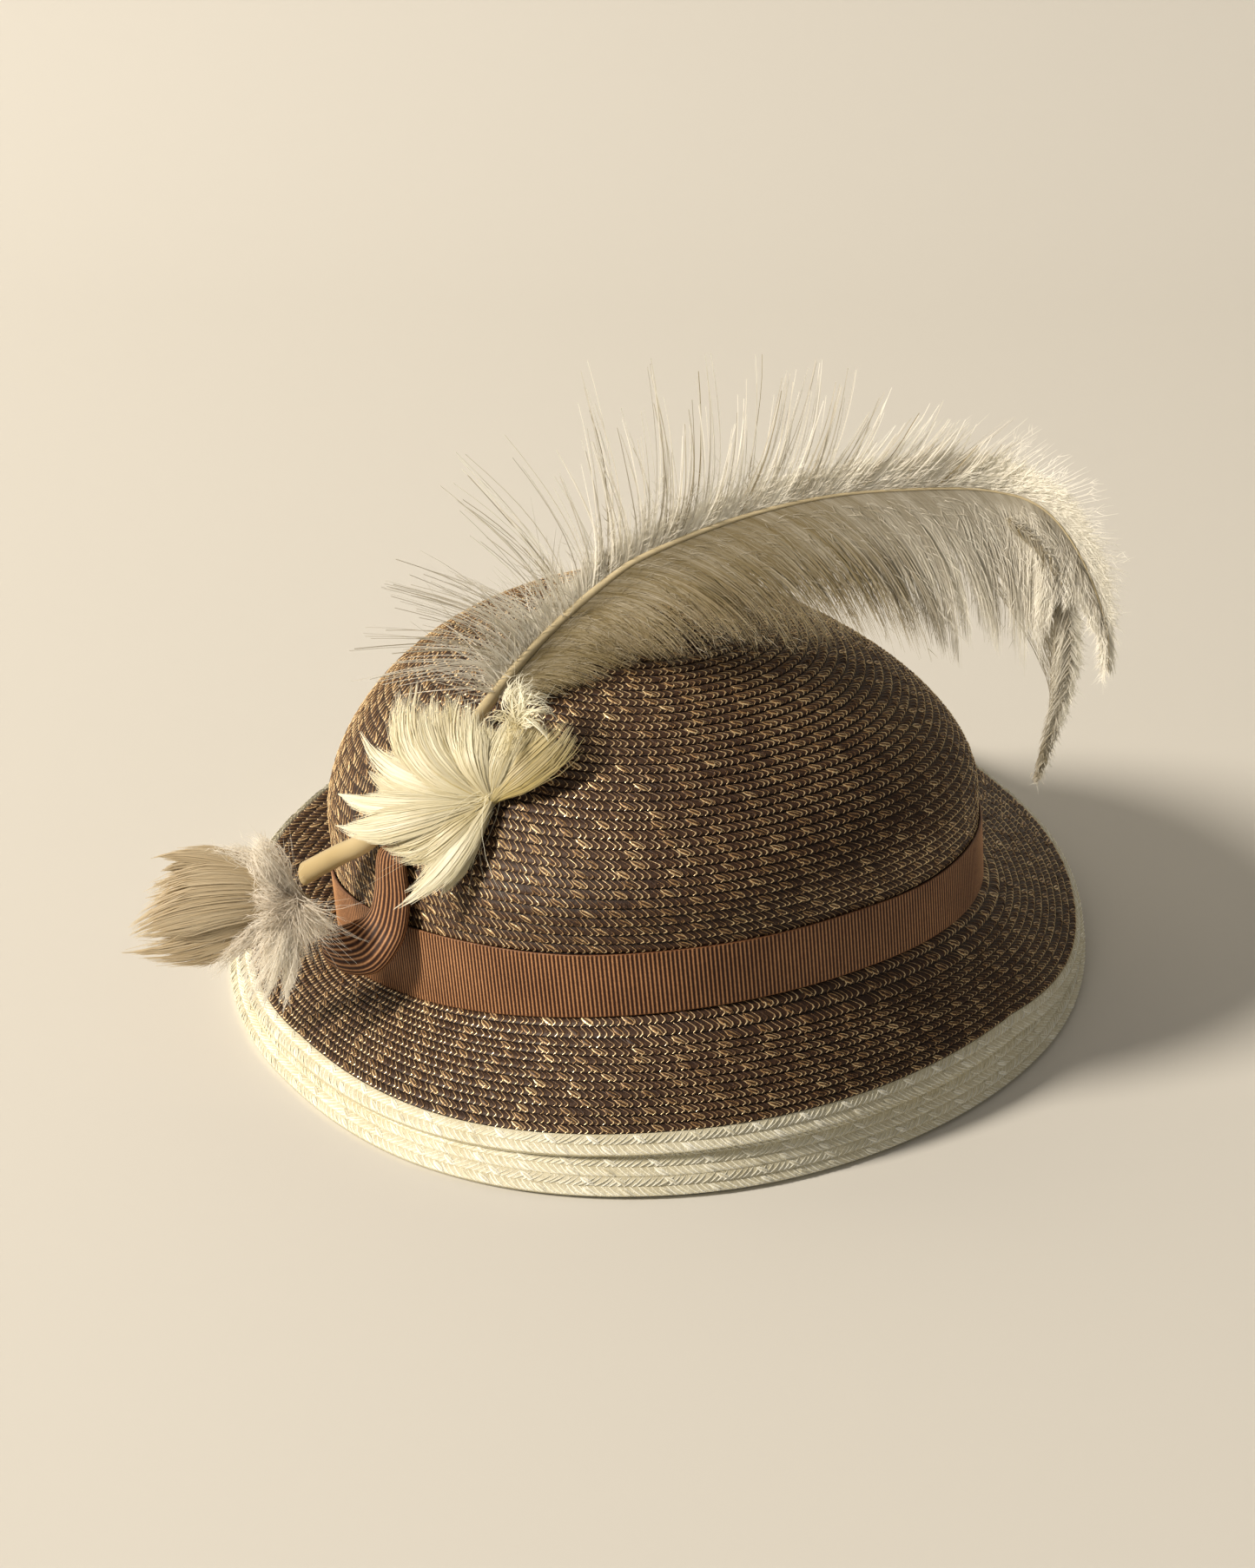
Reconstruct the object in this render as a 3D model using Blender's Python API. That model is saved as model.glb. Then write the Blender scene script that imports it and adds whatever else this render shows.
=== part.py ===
# Straw hat with a feather trim: a domed crown, a brim of two layers, a ribbon band and feathers.
# Lengths are in metres and angles in degrees. Z is up, the hat stands on z = 0, and -Y is its near side.

import math

import bmesh
import bpy
import numpy as np

# Crown
crown_length = 0.1814      # outside, along the long way of the oval
crown_width = 0.1700       # outside, across it
crown_height = 0.0848      # from the middle of the foot to the top
crown_upright = 0.0310     # height of the wall before the dome turns in
crown_wall = 0.0018
crown_lean = 0.0094        # how far the top stands off the middle of the foot
crown_lean_toward = 135
long_way = 126             # direction of the oval's long way, from +X
oval_power = 2.2           # 2 is an ellipse, more is squarer
dome_power = 1.76          # roundness of the dome's side, 2 is an ellipse

# Foot of the crown, where the brim is sewn on
foot_height = 0.0236       # middle of the foot over the floor
foot_tilt = 10.4           # the hat lies back on its brim
foot_low_side = 145        # direction in which the foot is lowest
foot_wave = 0.0036         # near and far sides rise by this, the other two dip
foot_wave_crest = 80

# Brim
brim_reach = 0.0470        # down the slope, from the foot to the lower layer's edge
brim_lift = 0.0160         # the edge stands this far off the floor where it lifts most
brim_wall = 0.0018
brim_bow = 0.0015          # how far the slope bulges between foot and edge
lower_ledge = 0.0108       # the lower layer shows this far past the upper one
cream_edge = 0.0054        # cream rows at the upper layer's edge
row_pitch = 0.0026
row_relief = 0.0005
row_dip = 0.12             # where each row is lowest and highest, as shares of its width
row_crest = 0.60
land = 0.0020              # flat strip under the edge, where the brim stands
layer_gap = 0.0004
seam_gap = 0.0003

# Ribbon
ribbon_width = 0.0188
ribbon_thickness = 0.0009
ribbon_rise = 0.0010       # bottom edge of the ribbon over the brim
knot_width = 0.0110
knot_thickness = 0.0044

# Feathers
quill_radius = 0.0028
shaft_tip_radius = 0.0007
shaft_thins_by = 0.6       # share of the plume at which the shaft has its tip's radius
quill_bare = 0.285         # share of the plume that has no barbs
barb_length = 0.0500       # longest barbs of the plume
lock_thickness = 0.0010
lock_thinning = 0.6        # share of its thickness that a lock has lost at its tip
lock_widths = (1.0, 0.8, 0.62, 0.25)   # from root to tip, as shares of the width at the root
fan_length = 0.0500
fan_head = 0.0060
vane_length = 0.0570
vane_head = 0.0075
tuft_length = 0.0180
tuft_head = 0.0030
head_eye = 0.35            # inner radius of a fan's head, as a share of the head
head_thickness = 0.44      # its thickness, as the same share
vane_widths = (0.75, 1.0, 0.7, 0.15)   # from root to tip, as shares of a feather's full width
vane_room = 0.95           # most of the room between its neighbours that a feather takes

# Fineness of the faceted walls
around_count = 48
upright_rings = 3
dome_rings = 10
plume_cells = 34
quill_stations = 7
plume_end = 0.985          # the last lock stands at this share of the plume
slope_shares = (0.0, 0.12, 0.35, 0.6, 0.82, 1.0)
hidden_shares = (0.15, 0.5, 0.85)
knot_stations = 15
knot_sides = 10

# Brim sections: direction from +X, then shares of brim_reach, brim_lift and lower_ledge
brim_sections = [
    # toward, reach, lift, ledge
    (-180, 0.69, 0.00, 0.30),
    (-150, 0.78, 0.00, 0.46),
    (-120, 0.92, 0.00, 0.72),
    (-90, 0.92, 0.00, 0.92),
    (-60, 0.88, 0.00, 0.92),
    (-30, 0.84, 0.00, 0.84),
    (0, 0.88, 0.08, 0.50),
    (30, 1.00, 0.54, 0.32),
    (60, 1.08, 1.00, 0.40),
    (90, 1.08, 0.90, 0.48),
    (120, 1.04, 0.78, 0.48),
    (150, 0.86, 0.36, 0.40),
]

# Middle line of the plume, as shares of half the crown's length, half its width, and its height
plume_line = [
    # across, depth, up
    (-1.050, -0.400, 0.257),
    (-0.940, -0.470, 0.361),
    (-0.835, -0.536, 0.460),
    (-0.643, -0.571, 0.680),
    (-0.500, -0.418, 0.855),
    (-0.338, -0.212, 0.990),
    (-0.162, -0.141, 1.144),
    (-0.035, -0.118, 1.232),
    (0.214, -0.075, 1.331),
    (0.471, -0.060, 1.400),
    (0.709, -0.060, 1.426),
    (0.950, -0.070, 1.428),
    (1.108, -0.118, 1.386),
    (1.222, -0.165, 1.240),
    (1.302, -0.210, 1.026),
    (1.312, -0.235, 0.884),
]

# Locks of the plume: share along it, then for the upper and the lower side the length as a share
# of barb_length, the angle off the shaft and the lean towards the near side, and the lower droop
plume_locks = [
    # along, upper_length, upper_angle, upper_lean, lower_length, lower_angle, lower_lean, droop
    (0.24, 0.60, 95, -30, 0.12, 90, 62, 0.0),
    (0.29, 0.90, 88, -30, 0.14, 94, 62, 0.0),
    (0.34, 1.00, 70, -22, 0.30, 96, 58, 0.0),
    (0.42, 1.00, 63, -8, 0.70, 92, 52, 0.0),
    (0.50, 0.95, 64, 0, 0.78, 85, 45, 0.1),
    (0.60, 0.76, 58, 0, 0.86, 77, 32, 0.1),
    (0.70, 0.50, 56, 0, 0.94, 76, 20, 0.1),
    (0.78, 0.28, 56, 0, 0.90, 72, 12, 0.1),
    (0.85, 0.18, 50, 0, 0.80, 46, 8, 0.1),
    (0.89, 0.14, 40, 0, 1.25, 42, 20, 0.0),
    (0.91, 0.10, 35, 0, 0.50, 36, 12, 0.0),
    (1.00, 0.08, 30, 0, 0.12, 30, 0, 0.0),
]

# Feathers of the fan: direction in the fan's own plane, length as a share of fan_length,
# width as a share of that length, and rise of the tip off the plane, as the same share
fan_feathers = [
    # direction, length, width, rise
    (246, 0.54, 0.20, 0.02),
    (232, 0.66, 0.16, 0.10),
    (218, 0.78, 0.16, 0.00),
    (203, 0.76, 0.18, 0.12),
    (188, 0.84, 0.18, 0.06),
    (174, 0.84, 0.19, 0.14),
    (160, 0.88, 0.18, 0.04),
    (146, 0.88, 0.19, 0.15),
    (132, 0.84, 0.20, 0.06),
    (117, 0.82, 0.20, 0.17),
    (102, 0.74, 0.20, 0.08),
    (86, 0.66, 0.20, 0.16),
    (70, 0.68, 0.20, 0.08),
    (54, 0.62, 0.22, 0.12),
    (38, 0.50, 0.24, 0.05),
]

# Feathers that stand out over the brim, in the same columns, lengths as shares of vane_length
side_feathers = [
    # direction, length, width, rise
    (304, 0.30, 0.30, 0.05),
    (280, 0.40, 0.20, 0.00),
    (260, 0.50, 0.16, 0.06),
    (243, 0.58, 0.14, 0.00),
    (226, 0.62, 0.14, 0.06),
    (211, 0.80, 0.20, 0.00),
    (196, 1.00, 0.24, 0.05),
    (182, 0.96, 0.22, 0.00),
    (167, 0.88, 0.18, 0.05),
    (152, 0.62, 0.18, 0.00),
    (136, 0.50, 0.20, 0.05),
    (112, 0.36, 0.24, 0.00),
]

tuft_feathers = [
    # direction, length, width, rise
    (124, 0.75, 0.24, 0.30),
    (104, 0.95, 0.24, 0.40),
    (84, 1.00, 0.24, 0.45),
    (62, 0.90, 0.26, 0.35),
    (36, 0.65, 0.30, 0.25),
]

# Fold of ribbon beside the quill, as shares like the plume's, then its width as a share of knot_width
knot_line = [
    # across, depth, up, width
    (-0.775, -0.595, 0.440, 0.75),
    (-0.785, -0.606, 0.380, 1.00),
    (-0.785, -0.608, 0.290, 1.05),
    (-0.805, -0.625, 0.200, 1.00),
    (-0.860, -0.640, 0.135, 0.85),
    (-0.930, -0.610, 0.105, 0.80),
    (-0.995, -0.560, 0.100, 0.60),
]


def unit(vector):
    return vector / np.linalg.norm(vector)


def catmull(rows, places, closed):
    """Read a smooth curve through the rows at places counted in rows."""
    rows = np.asarray(rows, float)
    count = len(rows)
    result = []
    for place in places:
        index = int(math.floor(place))
        if not closed:
            index = min(max(index, 0), count - 2)
        share = place - index
        picks = [index - 1, index, index + 1, index + 2]
        if closed:
            before, here, after, beyond = (rows[pick % count] for pick in picks)
        else:
            before, here, after, beyond = (rows[min(max(pick, 0), count - 1)] for pick in picks)
        result.append(0.5 * (2 * here + (after - before) * share
                             + (2 * before - 5 * here + 4 * after - beyond) * share ** 2
                             + (3 * here - before - 3 * after + beyond) * share ** 3))
    return np.array(result)


def even_path(rows, count, start=0.0, end=1.0):
    """Points at even distances along the smooth curve through the rows."""
    fine = catmull(rows, np.linspace(0, len(rows) - 1, 400), False)
    steps = np.linalg.norm(np.diff(fine[:, :3], axis=0), axis=1)
    travelled = np.concatenate([[0.0], np.cumsum(steps)])
    wanted = np.linspace(start, end, count) * travelled[-1]
    return np.stack([np.interp(wanted, travelled, column) for column in fine.T], axis=1)


def add_object(name, points, faces, colour, roughness, smooth_angle=40):
    mesh = bpy.data.meshes.new(name)
    mesh.from_pydata([tuple(point) for point in points], [], faces)
    shape = bmesh.new()
    shape.from_mesh(mesh)
    bmesh.ops.recalc_face_normals(shape, faces=shape.faces)
    shape.to_mesh(mesh)
    shape.free()
    mesh.shade_smooth()
    mesh.set_sharp_from_angle(angle=math.radians(smooth_angle))
    material = bpy.data.materials.new(name + "_finish")
    material.use_nodes = True
    shader = material.node_tree.nodes["Principled BSDF"]
    shader.inputs["Base Color"].default_value = (*colour, 1.0)
    shader.inputs["Roughness"].default_value = roughness
    mesh.materials.append(material)
    item = bpy.data.objects.new(name, mesh)
    bpy.context.scene.collection.objects.link(item)
    return item


def loop_faces(rings, closed_section):
    """Quads between neighbouring rings of a grid whose rings go round the hat."""
    faces = []
    last = rings if closed_section else rings - 1
    for ring in range(last):
        upper = (ring + 1) % rings
        for step in range(around_count):
            after = (step + 1) % around_count
            faces.append((ring * around_count + step, ring * around_count + after,
                          upper * around_count + after, upper * around_count + step))
    return faces


# The crown's oval at any height over the foot

def foot_axes(share):
    """Directions across and along a ring's plane, which turns level from foot to top."""
    slope = math.tan(math.radians(foot_tilt)) * (1 - share)
    low = math.radians(foot_low_side)
    up = unit(np.array([slope * math.cos(low), slope * math.sin(low), 1.0]))
    across = unit(np.array([1.0, 0.0, 0.0]) - up[0] * up)
    return across, np.cross(up, across)


def crown_ring(height, scale=1.0, outset=0.0, count=around_count):
    share = height / crown_height
    across, along = foot_axes(share)
    turn = np.radians(np.arange(count) * 360.0 / count - 180.0)
    long_turn = math.radians(long_way)
    cosine = np.cos(turn - long_turn)
    sine = np.sin(turn - long_turn)
    square = (np.abs(cosine) ** oval_power + np.abs(sine) ** oval_power) ** (-1 / oval_power)
    far = (crown_length / 2 * scale + outset) * cosine * square
    wide = (crown_width / 2 * scale + outset) * sine * square
    x = far * math.cos(long_turn) - wide * math.sin(long_turn)
    y = far * math.sin(long_turn) + wide * math.cos(long_turn)
    wave = foot_wave * np.cos(2 * (turn - math.radians(foot_wave_crest))) * (1 - share)
    lean = math.radians(crown_lean_toward)
    middle = np.array([crown_lean * share * math.cos(lean), crown_lean * share * math.sin(lean),
                       foot_height + height])
    ring = middle + x[:, None] * across + y[:, None] * along
    ring[:, 2] += wave
    return ring


def dome_levels():
    """Height and size of each ring from the foot to just under the top."""
    levels = [(step / upright_rings * crown_upright, 1.0) for step in range(upright_rings)]
    for step in range(dome_rings):
        turn = step / dome_rings * math.pi / 2
        rise = math.sin(turn) ** (2 / dome_power) if step else 0.0
        levels.append((crown_upright + (crown_height - crown_upright) * rise,
                       math.cos(turn) ** (2 / dome_power)))
    return levels


# The brim's section in each direction

def brim_values():
    turns = np.arange(around_count) * 360.0 / around_count
    table = np.array([row[1:] for row in brim_sections])
    values = catmull(table, turns / 360.0 * len(brim_sections), True)
    return np.clip(values, 0.0, None)


def brim_slopes(foot, reach, lift):
    """Slope at each direction that brings the edge to its lift, with both layers under the foot."""
    slope = np.zeros(around_count)
    for _ in range(6):
        stack = (2 * brim_wall + layer_gap) / np.cos(slope)
        slope = np.arcsin((foot[:, 2] - stack - lift) / reach)
    return slope


def brim_frame():
    foot = crown_ring(0.0)
    values = brim_values()
    reach = brim_reach * values[:, 0]
    lift = brim_lift * values[:, 1]
    slope = brim_slopes(foot, reach, lift)
    stack = (2 * brim_wall + layer_gap) / np.cos(slope)
    outward = foot[:, :2] / np.linalg.norm(foot[:, :2], axis=1)[:, None]
    root = foot - np.stack([0 * stack, 0 * stack, stack], axis=1)
    return {"foot": foot, "root": root, "outward": outward, "reach": reach, "slope": slope,
            "lift": lift, "ledge": lower_ledge * values[:, 2]}


def brim_ring(frame, distance, height, upright=0.0):
    """Points a given distance down the slope and a given height off the underside.

    The height is taken square to the slope, or straight up where upright is 1.
    """
    share = distance / frame["reach"]
    bow = brim_bow * 4 * share * (1 - share) + height
    cosine = np.cos(frame["slope"])
    sine = np.sin(frame["slope"])
    run = distance * cosine + bow * sine * (1 - upright)
    drop = distance * sine - bow * (cosine * (1 - upright) + upright / cosine)
    ring = frame["root"].copy()
    ring[:, :2] += frame["outward"] * run[:, None]
    ring[:, 2] -= drop
    return ring


def sewn_rows(count):
    """Places, as shares of the way out, and reliefs of sewn rows: a dip and a crest for each."""
    places = []
    for row in range(count):
        places.append(((row + row_dip) / count, 0.0))
        places.append(((row + row_crest) / count, row_relief))
    places.append((1.0, 0.0))
    return places


def make_crown(frame):
    """The crown's upright side and its rounded tip, which meet where the wall turns in."""
    levels = dome_levels()
    outer = [crown_ring(height, scale) for height, scale in levels]
    grid = np.array(outer)
    up = np.gradient(grid, axis=0)
    round_way = np.roll(grid, -1, axis=1) - np.roll(grid, 1, axis=1)
    normal = np.cross(round_way, up)
    normal /= np.linalg.norm(normal, axis=2)[..., None]
    inner = []
    for index, (height, scale) in enumerate(levels):
        if scale > 0.999:
            inner.append(crown_ring(height, scale, -crown_wall))
        else:
            inner.append(grid[index] - crown_wall * normal[index])
    drop = (brim_wall + layer_gap) / np.cos(frame["slope"]) - seam_gap
    outer[0][:, 2] -= drop
    inner[0][:, 2] = outer[0][:, 2]
    meeting = crown_upright - seam_gap
    side_outer = outer[:upright_rings] + [crown_ring(meeting)]
    side_inner = inner[:upright_rings] + [crown_ring(meeting, 1.0, -crown_wall)]
    side_rings = side_inner[::-1] + side_outer
    add_object("crown_side", np.concatenate(side_rings), loop_faces(len(side_rings), True),
               (0.30, 0.19, 0.11), 0.45)
    lean = math.radians(crown_lean_toward)
    top = np.array([crown_lean * math.cos(lean), crown_lean * math.sin(lean), foot_height + crown_height])
    rings = inner[upright_rings:][::-1] + outer[upright_rings:]
    points = list(np.concatenate(rings)) + [top, top - np.array([0, 0, crown_wall])]
    faces = loop_faces(len(rings), False)
    apex = len(points) - 2
    first = (len(rings) - 1) * around_count
    for step in range(around_count):
        after = (step + 1) % around_count
        faces.append((first + step, first + after, apex))
        faces.append((after, step, apex + 1))
    add_object("crown_tip", points, faces, (0.30, 0.19, 0.11), 0.45)


def make_brim_layer(name, rings, colour, roughness):
    points = np.concatenate(rings)
    add_object(name, points, loop_faces(len(rings), True), colour, roughness, 35)


def make_upper_brim(frame):
    bottom = brim_wall + layer_gap
    top = bottom + brim_wall
    edge = frame["reach"] - frame["ledge"]
    brown = edge - cream_edge - seam_gap
    rings = []
    for share in slope_shares:
        rings.append(brim_ring(frame, seam_gap + (brown - seam_gap) * share, top, float(share == 0.0)))
    for share in reversed(slope_shares):
        rings.append(brim_ring(frame, seam_gap + (brown - seam_gap) * share, bottom, float(share == 0.0)))
    make_brim_layer("brim_upper", rings, (0.27, 0.17, 0.10), 0.45)

    rows = max(round(cream_edge / row_pitch), 1)
    start = brown + seam_gap
    rings = [brim_ring(frame, start, top)]
    for share, relief in sewn_rows(rows):
        rings.append(brim_ring(frame, start + cream_edge * share, top + relief))
    rings += [brim_ring(frame, edge, bottom), brim_ring(frame, start, bottom)]
    make_brim_layer("brim_upper_edge", rings, (0.86, 0.80, 0.60), 0.5)


def make_under_brim(frame):
    """The lower layer: a flange under the crown's wall, the hidden slope, the rows that show, the land."""
    edge = frame["reach"]
    hidden = edge - frame["ledge"]
    rows = max(round(lower_ledge / row_pitch), 1)
    flange = brim_ring(frame, 0.0, brim_wall, 1.0)
    inner_top = flange.copy()
    inner_top[:, :2] -= frame["outward"] * crown_wall
    rings = [inner_top, flange]
    for share in hidden_shares:
        rings.append(brim_ring(frame, hidden * share, brim_wall))
    for share, relief in sewn_rows(rows):
        rings.append(brim_ring(frame, hidden + frame["ledge"] * share, brim_wall + relief))
    tip = brim_ring(frame, edge, 0.0)
    heel = tip.copy()
    heel[:, :2] -= frame["outward"] * land
    rings += [tip, heel]
    for share in reversed(hidden_shares):
        rings.append(brim_ring(frame, hidden * share, 0.0))
    inner = frame["root"].copy()
    rings.append(inner)
    inner_bottom = inner.copy()
    inner_bottom[:, :2] -= frame["outward"] * crown_wall
    rings.append(inner_bottom)
    make_brim_layer("under_brim", rings, (0.88, 0.83, 0.64), 0.5)


def make_band():
    inner = seam_gap
    outer = seam_gap + ribbon_thickness
    low = ribbon_rise
    high = ribbon_rise + ribbon_width
    middle = (low + high) / 2
    rings = [crown_ring(low, 1.0, outer), crown_ring(middle, 1.0, outer), crown_ring(high, 1.0, outer),
             crown_ring(high, 1.0, inner), crown_ring(middle, 1.0, inner), crown_ring(low, 1.0, inner)]
    make_brim_layer("hat_band", rings, (0.33, 0.16, 0.10), 0.55)


# Feather work: a core with locks drawn out of its side faces, all one closed mesh

def hat_point(across, depth, up):
    return np.array([across * crown_length / 2, depth * crown_width / 2, foot_height + up * crown_height])


def lock_rings(root, direction, width_way, thick_way, length, widths, thickness, droop, rise):
    """Rings of four points along a lock that narrows to its tip."""
    rings = []
    count = len(widths)
    for step in range(1, count):
        share = step / (count - 1)
        middle = (root + direction * length * share - np.array([0, 0, droop * length * share ** 2])
                  + thick_way * rise * share ** 2)
        half_wide = width_way * widths[step] / 2
        half_thick = thick_way * thickness * (1 - lock_thinning * share) / 2
        rings.append([middle - half_wide + half_thick, middle + half_wide + half_thick,
                      middle + half_wide - half_thick, middle - half_wide - half_thick])
    return rings


def draw_lock(points, faces, base, rings):
    """Walls from the four base points through each ring, closed at the tip."""
    before = list(base)
    for ring in rings:
        here = list(range(len(points), len(points) + 4))
        points.extend(ring)
        for corner in range(4):
            after = (corner + 1) % 4
            faces.append((before[corner], before[after], here[after], here[corner]))
        before = here
    faces.append(tuple(before))


def core_faces(points, faces, stations):
    """A four-sided core through the stations; its upper and lower walls are left to the locks."""
    first = len(points)
    for station in stations:
        points.extend(station)
    for index in range(len(stations) - 1):
        here = first + 4 * index
        after = here + 4
        faces.append((here, here + 3, after + 3, after))
        faces.append((here + 1, after + 1, after + 2, here + 2))
    faces.append((first, first + 1, first + 2, first + 3))
    end = first + 4 * (len(stations) - 1)
    faces.append((end + 3, end + 2, end + 1, end))
    return first


def make_plume():
    """Quill and shaft with a lock of barbs drawn out of each cell on both sides."""
    line = [hat_point(*row) for row in plume_line]
    quill_shares = np.linspace(0, quill_bare, quill_stations)
    vane_shares = np.linspace(quill_bare, plume_end, plume_cells + 1)
    along = np.concatenate([quill_shares, vane_shares[1:]])
    quill = even_path(line, quill_stations, 0.0, quill_bare)
    vane = even_path(line, plume_cells + 1, quill_bare, plume_end)
    path = np.concatenate([quill, vane[1:]])
    tangent = np.gradient(path, axis=0)
    tangent /= np.linalg.norm(tangent, axis=1)[:, None]
    near = np.array([0.0, -1.0, 0.0])
    table = np.array(plume_locks)
    stations = []
    sides = []
    for place, way, share in zip(path, tangent, along):
        thick_way = unit(near - near.dot(way) * way)
        up_way = np.cross(thick_way, way)
        up_way = up_way if up_way[2] * way[0] - up_way[0] * way[2] > 0 else -up_way
        radius = quill_radius + (shaft_tip_radius - quill_radius) * min(share / shaft_thins_by, 1.0)
        wide = up_way * radius
        thick = thick_way * radius
        stations.append([place + wide + thick, place + wide - thick, place - wide - thick, place - wide + thick])
        sides.append((up_way, thick_way))
    points = []
    faces = []
    first = core_faces(points, faces, stations)
    for index in range(len(stations) - 1):
        here = first + 4 * index
        after = here + 4
        share = (along[index] + along[index + 1]) / 2
        upper = (here, after, after + 1, here + 1)
        lower = (here + 3, here + 2, after + 2, after + 3)
        if share < quill_bare:
            faces.append(upper)
            faces.append(lower)
            continue
        up_way, thick_way = sides[index]
        way = tangent[index]
        root = (path[index] + path[index + 1]) / 2
        cell = np.linalg.norm(path[index + 1] - path[index])
        values = [np.interp(share, table[:, 0], column) for column in table.T[1:]]
        upper_length, upper_angle, upper_lean, lower_length, lower_angle, lower_lean, droop = values
        widths = [cell * share for share in lock_widths]
        angle = math.radians(upper_angle)
        lean = math.radians(upper_lean)
        rise_way = up_way * math.cos(lean) + thick_way * math.sin(lean)
        flat_way = thick_way * math.cos(lean) - up_way * math.sin(lean)
        direction = way * math.cos(angle) + rise_way * math.sin(angle)
        rings = lock_rings(root, direction, way, flat_way, upper_length * barb_length, widths,
                           lock_thickness, 0.0, 0.0)
        draw_lock(points, faces, upper, rings)
        angle = math.radians(lower_angle)
        lean = math.radians(lower_lean)
        down_way = -up_way * math.cos(lean) + thick_way * math.sin(lean)
        flat_way = thick_way * math.cos(lean) + up_way * math.sin(lean)
        direction = way * math.cos(angle) + down_way * math.sin(angle)
        rings = lock_rings(root, direction, way, flat_way, lower_length * barb_length, widths,
                           lock_thickness, droop, 0.0)
        draw_lock(points, faces, lower, [[ring[0], ring[3], ring[2], ring[1]] for ring in rings])
    add_object("ostrich_plume", points, faces, (0.72, 0.67, 0.52), 0.6, 60)


def make_fan(name, seat, normal, head, length, feathers, colour):
    """Feathers spread in a plane off a curved head, one for each cell of the head."""
    normal = unit(np.array(normal))
    right = unit(np.array([1.0, 0.0, 0.0]) - normal[0] * normal)
    up = np.cross(normal, right)
    turns = [row[0] for row in feathers]
    bounds = [turns[0] + (turns[0] - turns[1]) / 2]
    bounds += [(turns[index] + turns[index + 1]) / 2 for index in range(len(turns) - 1)]
    bounds.append(turns[-1] - (turns[-2] - turns[-1]) / 2)

    def spoke(turn):
        return right * math.cos(math.radians(turn)) + up * math.sin(math.radians(turn))

    thick = normal * head * head_thickness / 2
    stations = []
    for turn in bounds:
        rim = seat + spoke(turn) * head
        core = seat + spoke(turn) * head * head_eye
        stations.append([rim + thick, rim - thick, core - thick, core + thick])
    points = []
    faces = []
    first = core_faces(points, faces, stations)
    for index, (turn, long_share, wide_share, rise) in enumerate(feathers):
        here = first + 4 * index
        after = here + 4
        faces.append((here + 3, here + 2, after + 2, after + 3))
        direction = spoke(turn)
        width_way = -np.cross(normal, direction)
        full = length * long_share - head
        wide = length * long_share * wide_share
        chord = np.linalg.norm(stations[index + 1][0] - stations[index][0])
        room = math.tan(math.radians(min(abs(turn - bounds[index]), abs(bounds[index + 1] - turn))))
        widths = [chord]
        for step, share in enumerate(vane_widths, 1):
            radius = head + full * step / len(vane_widths)
            widths.append(min(wide * share, 2 * radius * room * vane_room))
        rings = lock_rings(seat + direction * head, direction, width_way, normal, full, widths,
                           lock_thickness, 0.0, rise * length)
        draw_lock(points, faces, (here, after, after + 1, here + 1), rings)
    add_object(name, points, faces, colour, 0.55, 60)


def make_knot():
    """A fold of ribbon: an oval tube, wide and flat, along its own line."""
    line = [np.append(hat_point(*row[:3]), row[3]) for row in knot_line]
    path = even_path(line, knot_stations)
    tangent = np.gradient(path[:, :3], axis=0)
    sides = knot_sides
    points = []
    for place, way in zip(path, tangent):
        way = unit(way)
        outward = unit(np.array([place[0], place[1], 0.0]))
        outward = unit(outward - outward.dot(way) * way)
        wide_way = np.cross(way, outward)
        for side in range(sides):
            turn = side / sides * 2 * math.pi
            points.append(place[:3] + wide_way * math.cos(turn) * knot_width / 2 * place[3]
                          + outward * math.sin(turn) * knot_thickness / 2 * min(place[3], 1.0))
    faces = []
    for index in range(len(path) - 1):
        for side in range(sides):
            after = (side + 1) % sides
            faces.append((index * sides + side, index * sides + after,
                          (index + 1) * sides + after, (index + 1) * sides + side))
    faces.append(tuple(range(sides)))
    last = (len(path) - 1) * sides
    faces.append(tuple(range(last + sides - 1, last - 1, -1)))
    add_object("ribbon_knot", points, faces, (0.33, 0.16, 0.10), 0.55, 60)


def centre_on_floor():
    """Move the hat so that the middle of its box's bottom is the origin."""
    items = [item for item in bpy.context.scene.objects if item.type == "MESH"]
    corners = np.concatenate([[list(vertex.co) for vertex in item.data.vertices] for item in items])
    low = corners.min(axis=0)
    high = corners.max(axis=0)
    shift = np.array([(low[0] + high[0]) / 2, (low[1] + high[1]) / 2, low[2]])
    for item in items:
        for vertex in item.data.vertices:
            vertex.co = np.array(vertex.co) - shift
    return shift


def main():
    for item in list(bpy.data.objects):
        bpy.data.objects.remove(item, do_unlink=True)
    frame = brim_frame()
    make_crown(frame)
    make_upper_brim(frame)
    make_under_brim(frame)
    make_band()
    make_knot()
    make_plume()
    make_fan("hackle_cluster", hat_point(-0.493, -0.727, 0.654), (-0.385, -0.71, 0.59),
             fan_head, fan_length, fan_feathers, (0.88, 0.84, 0.66))
    make_fan("body_feathers", hat_point(-0.940, -0.624, 0.240), (0.0, -0.89, 0.45),
             vane_head, vane_length, side_feathers, (0.74, 0.66, 0.50))
    make_fan("curled_tuft", hat_point(-0.273, -0.588, 0.831), (-0.20, -0.48, 0.85),
             tuft_head, tuft_length, tuft_feathers, (0.90, 0.88, 0.76))
    shift = centre_on_floor()
    print("hat centre moved by", [round(float(value), 5) for value in shift])


main()
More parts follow.
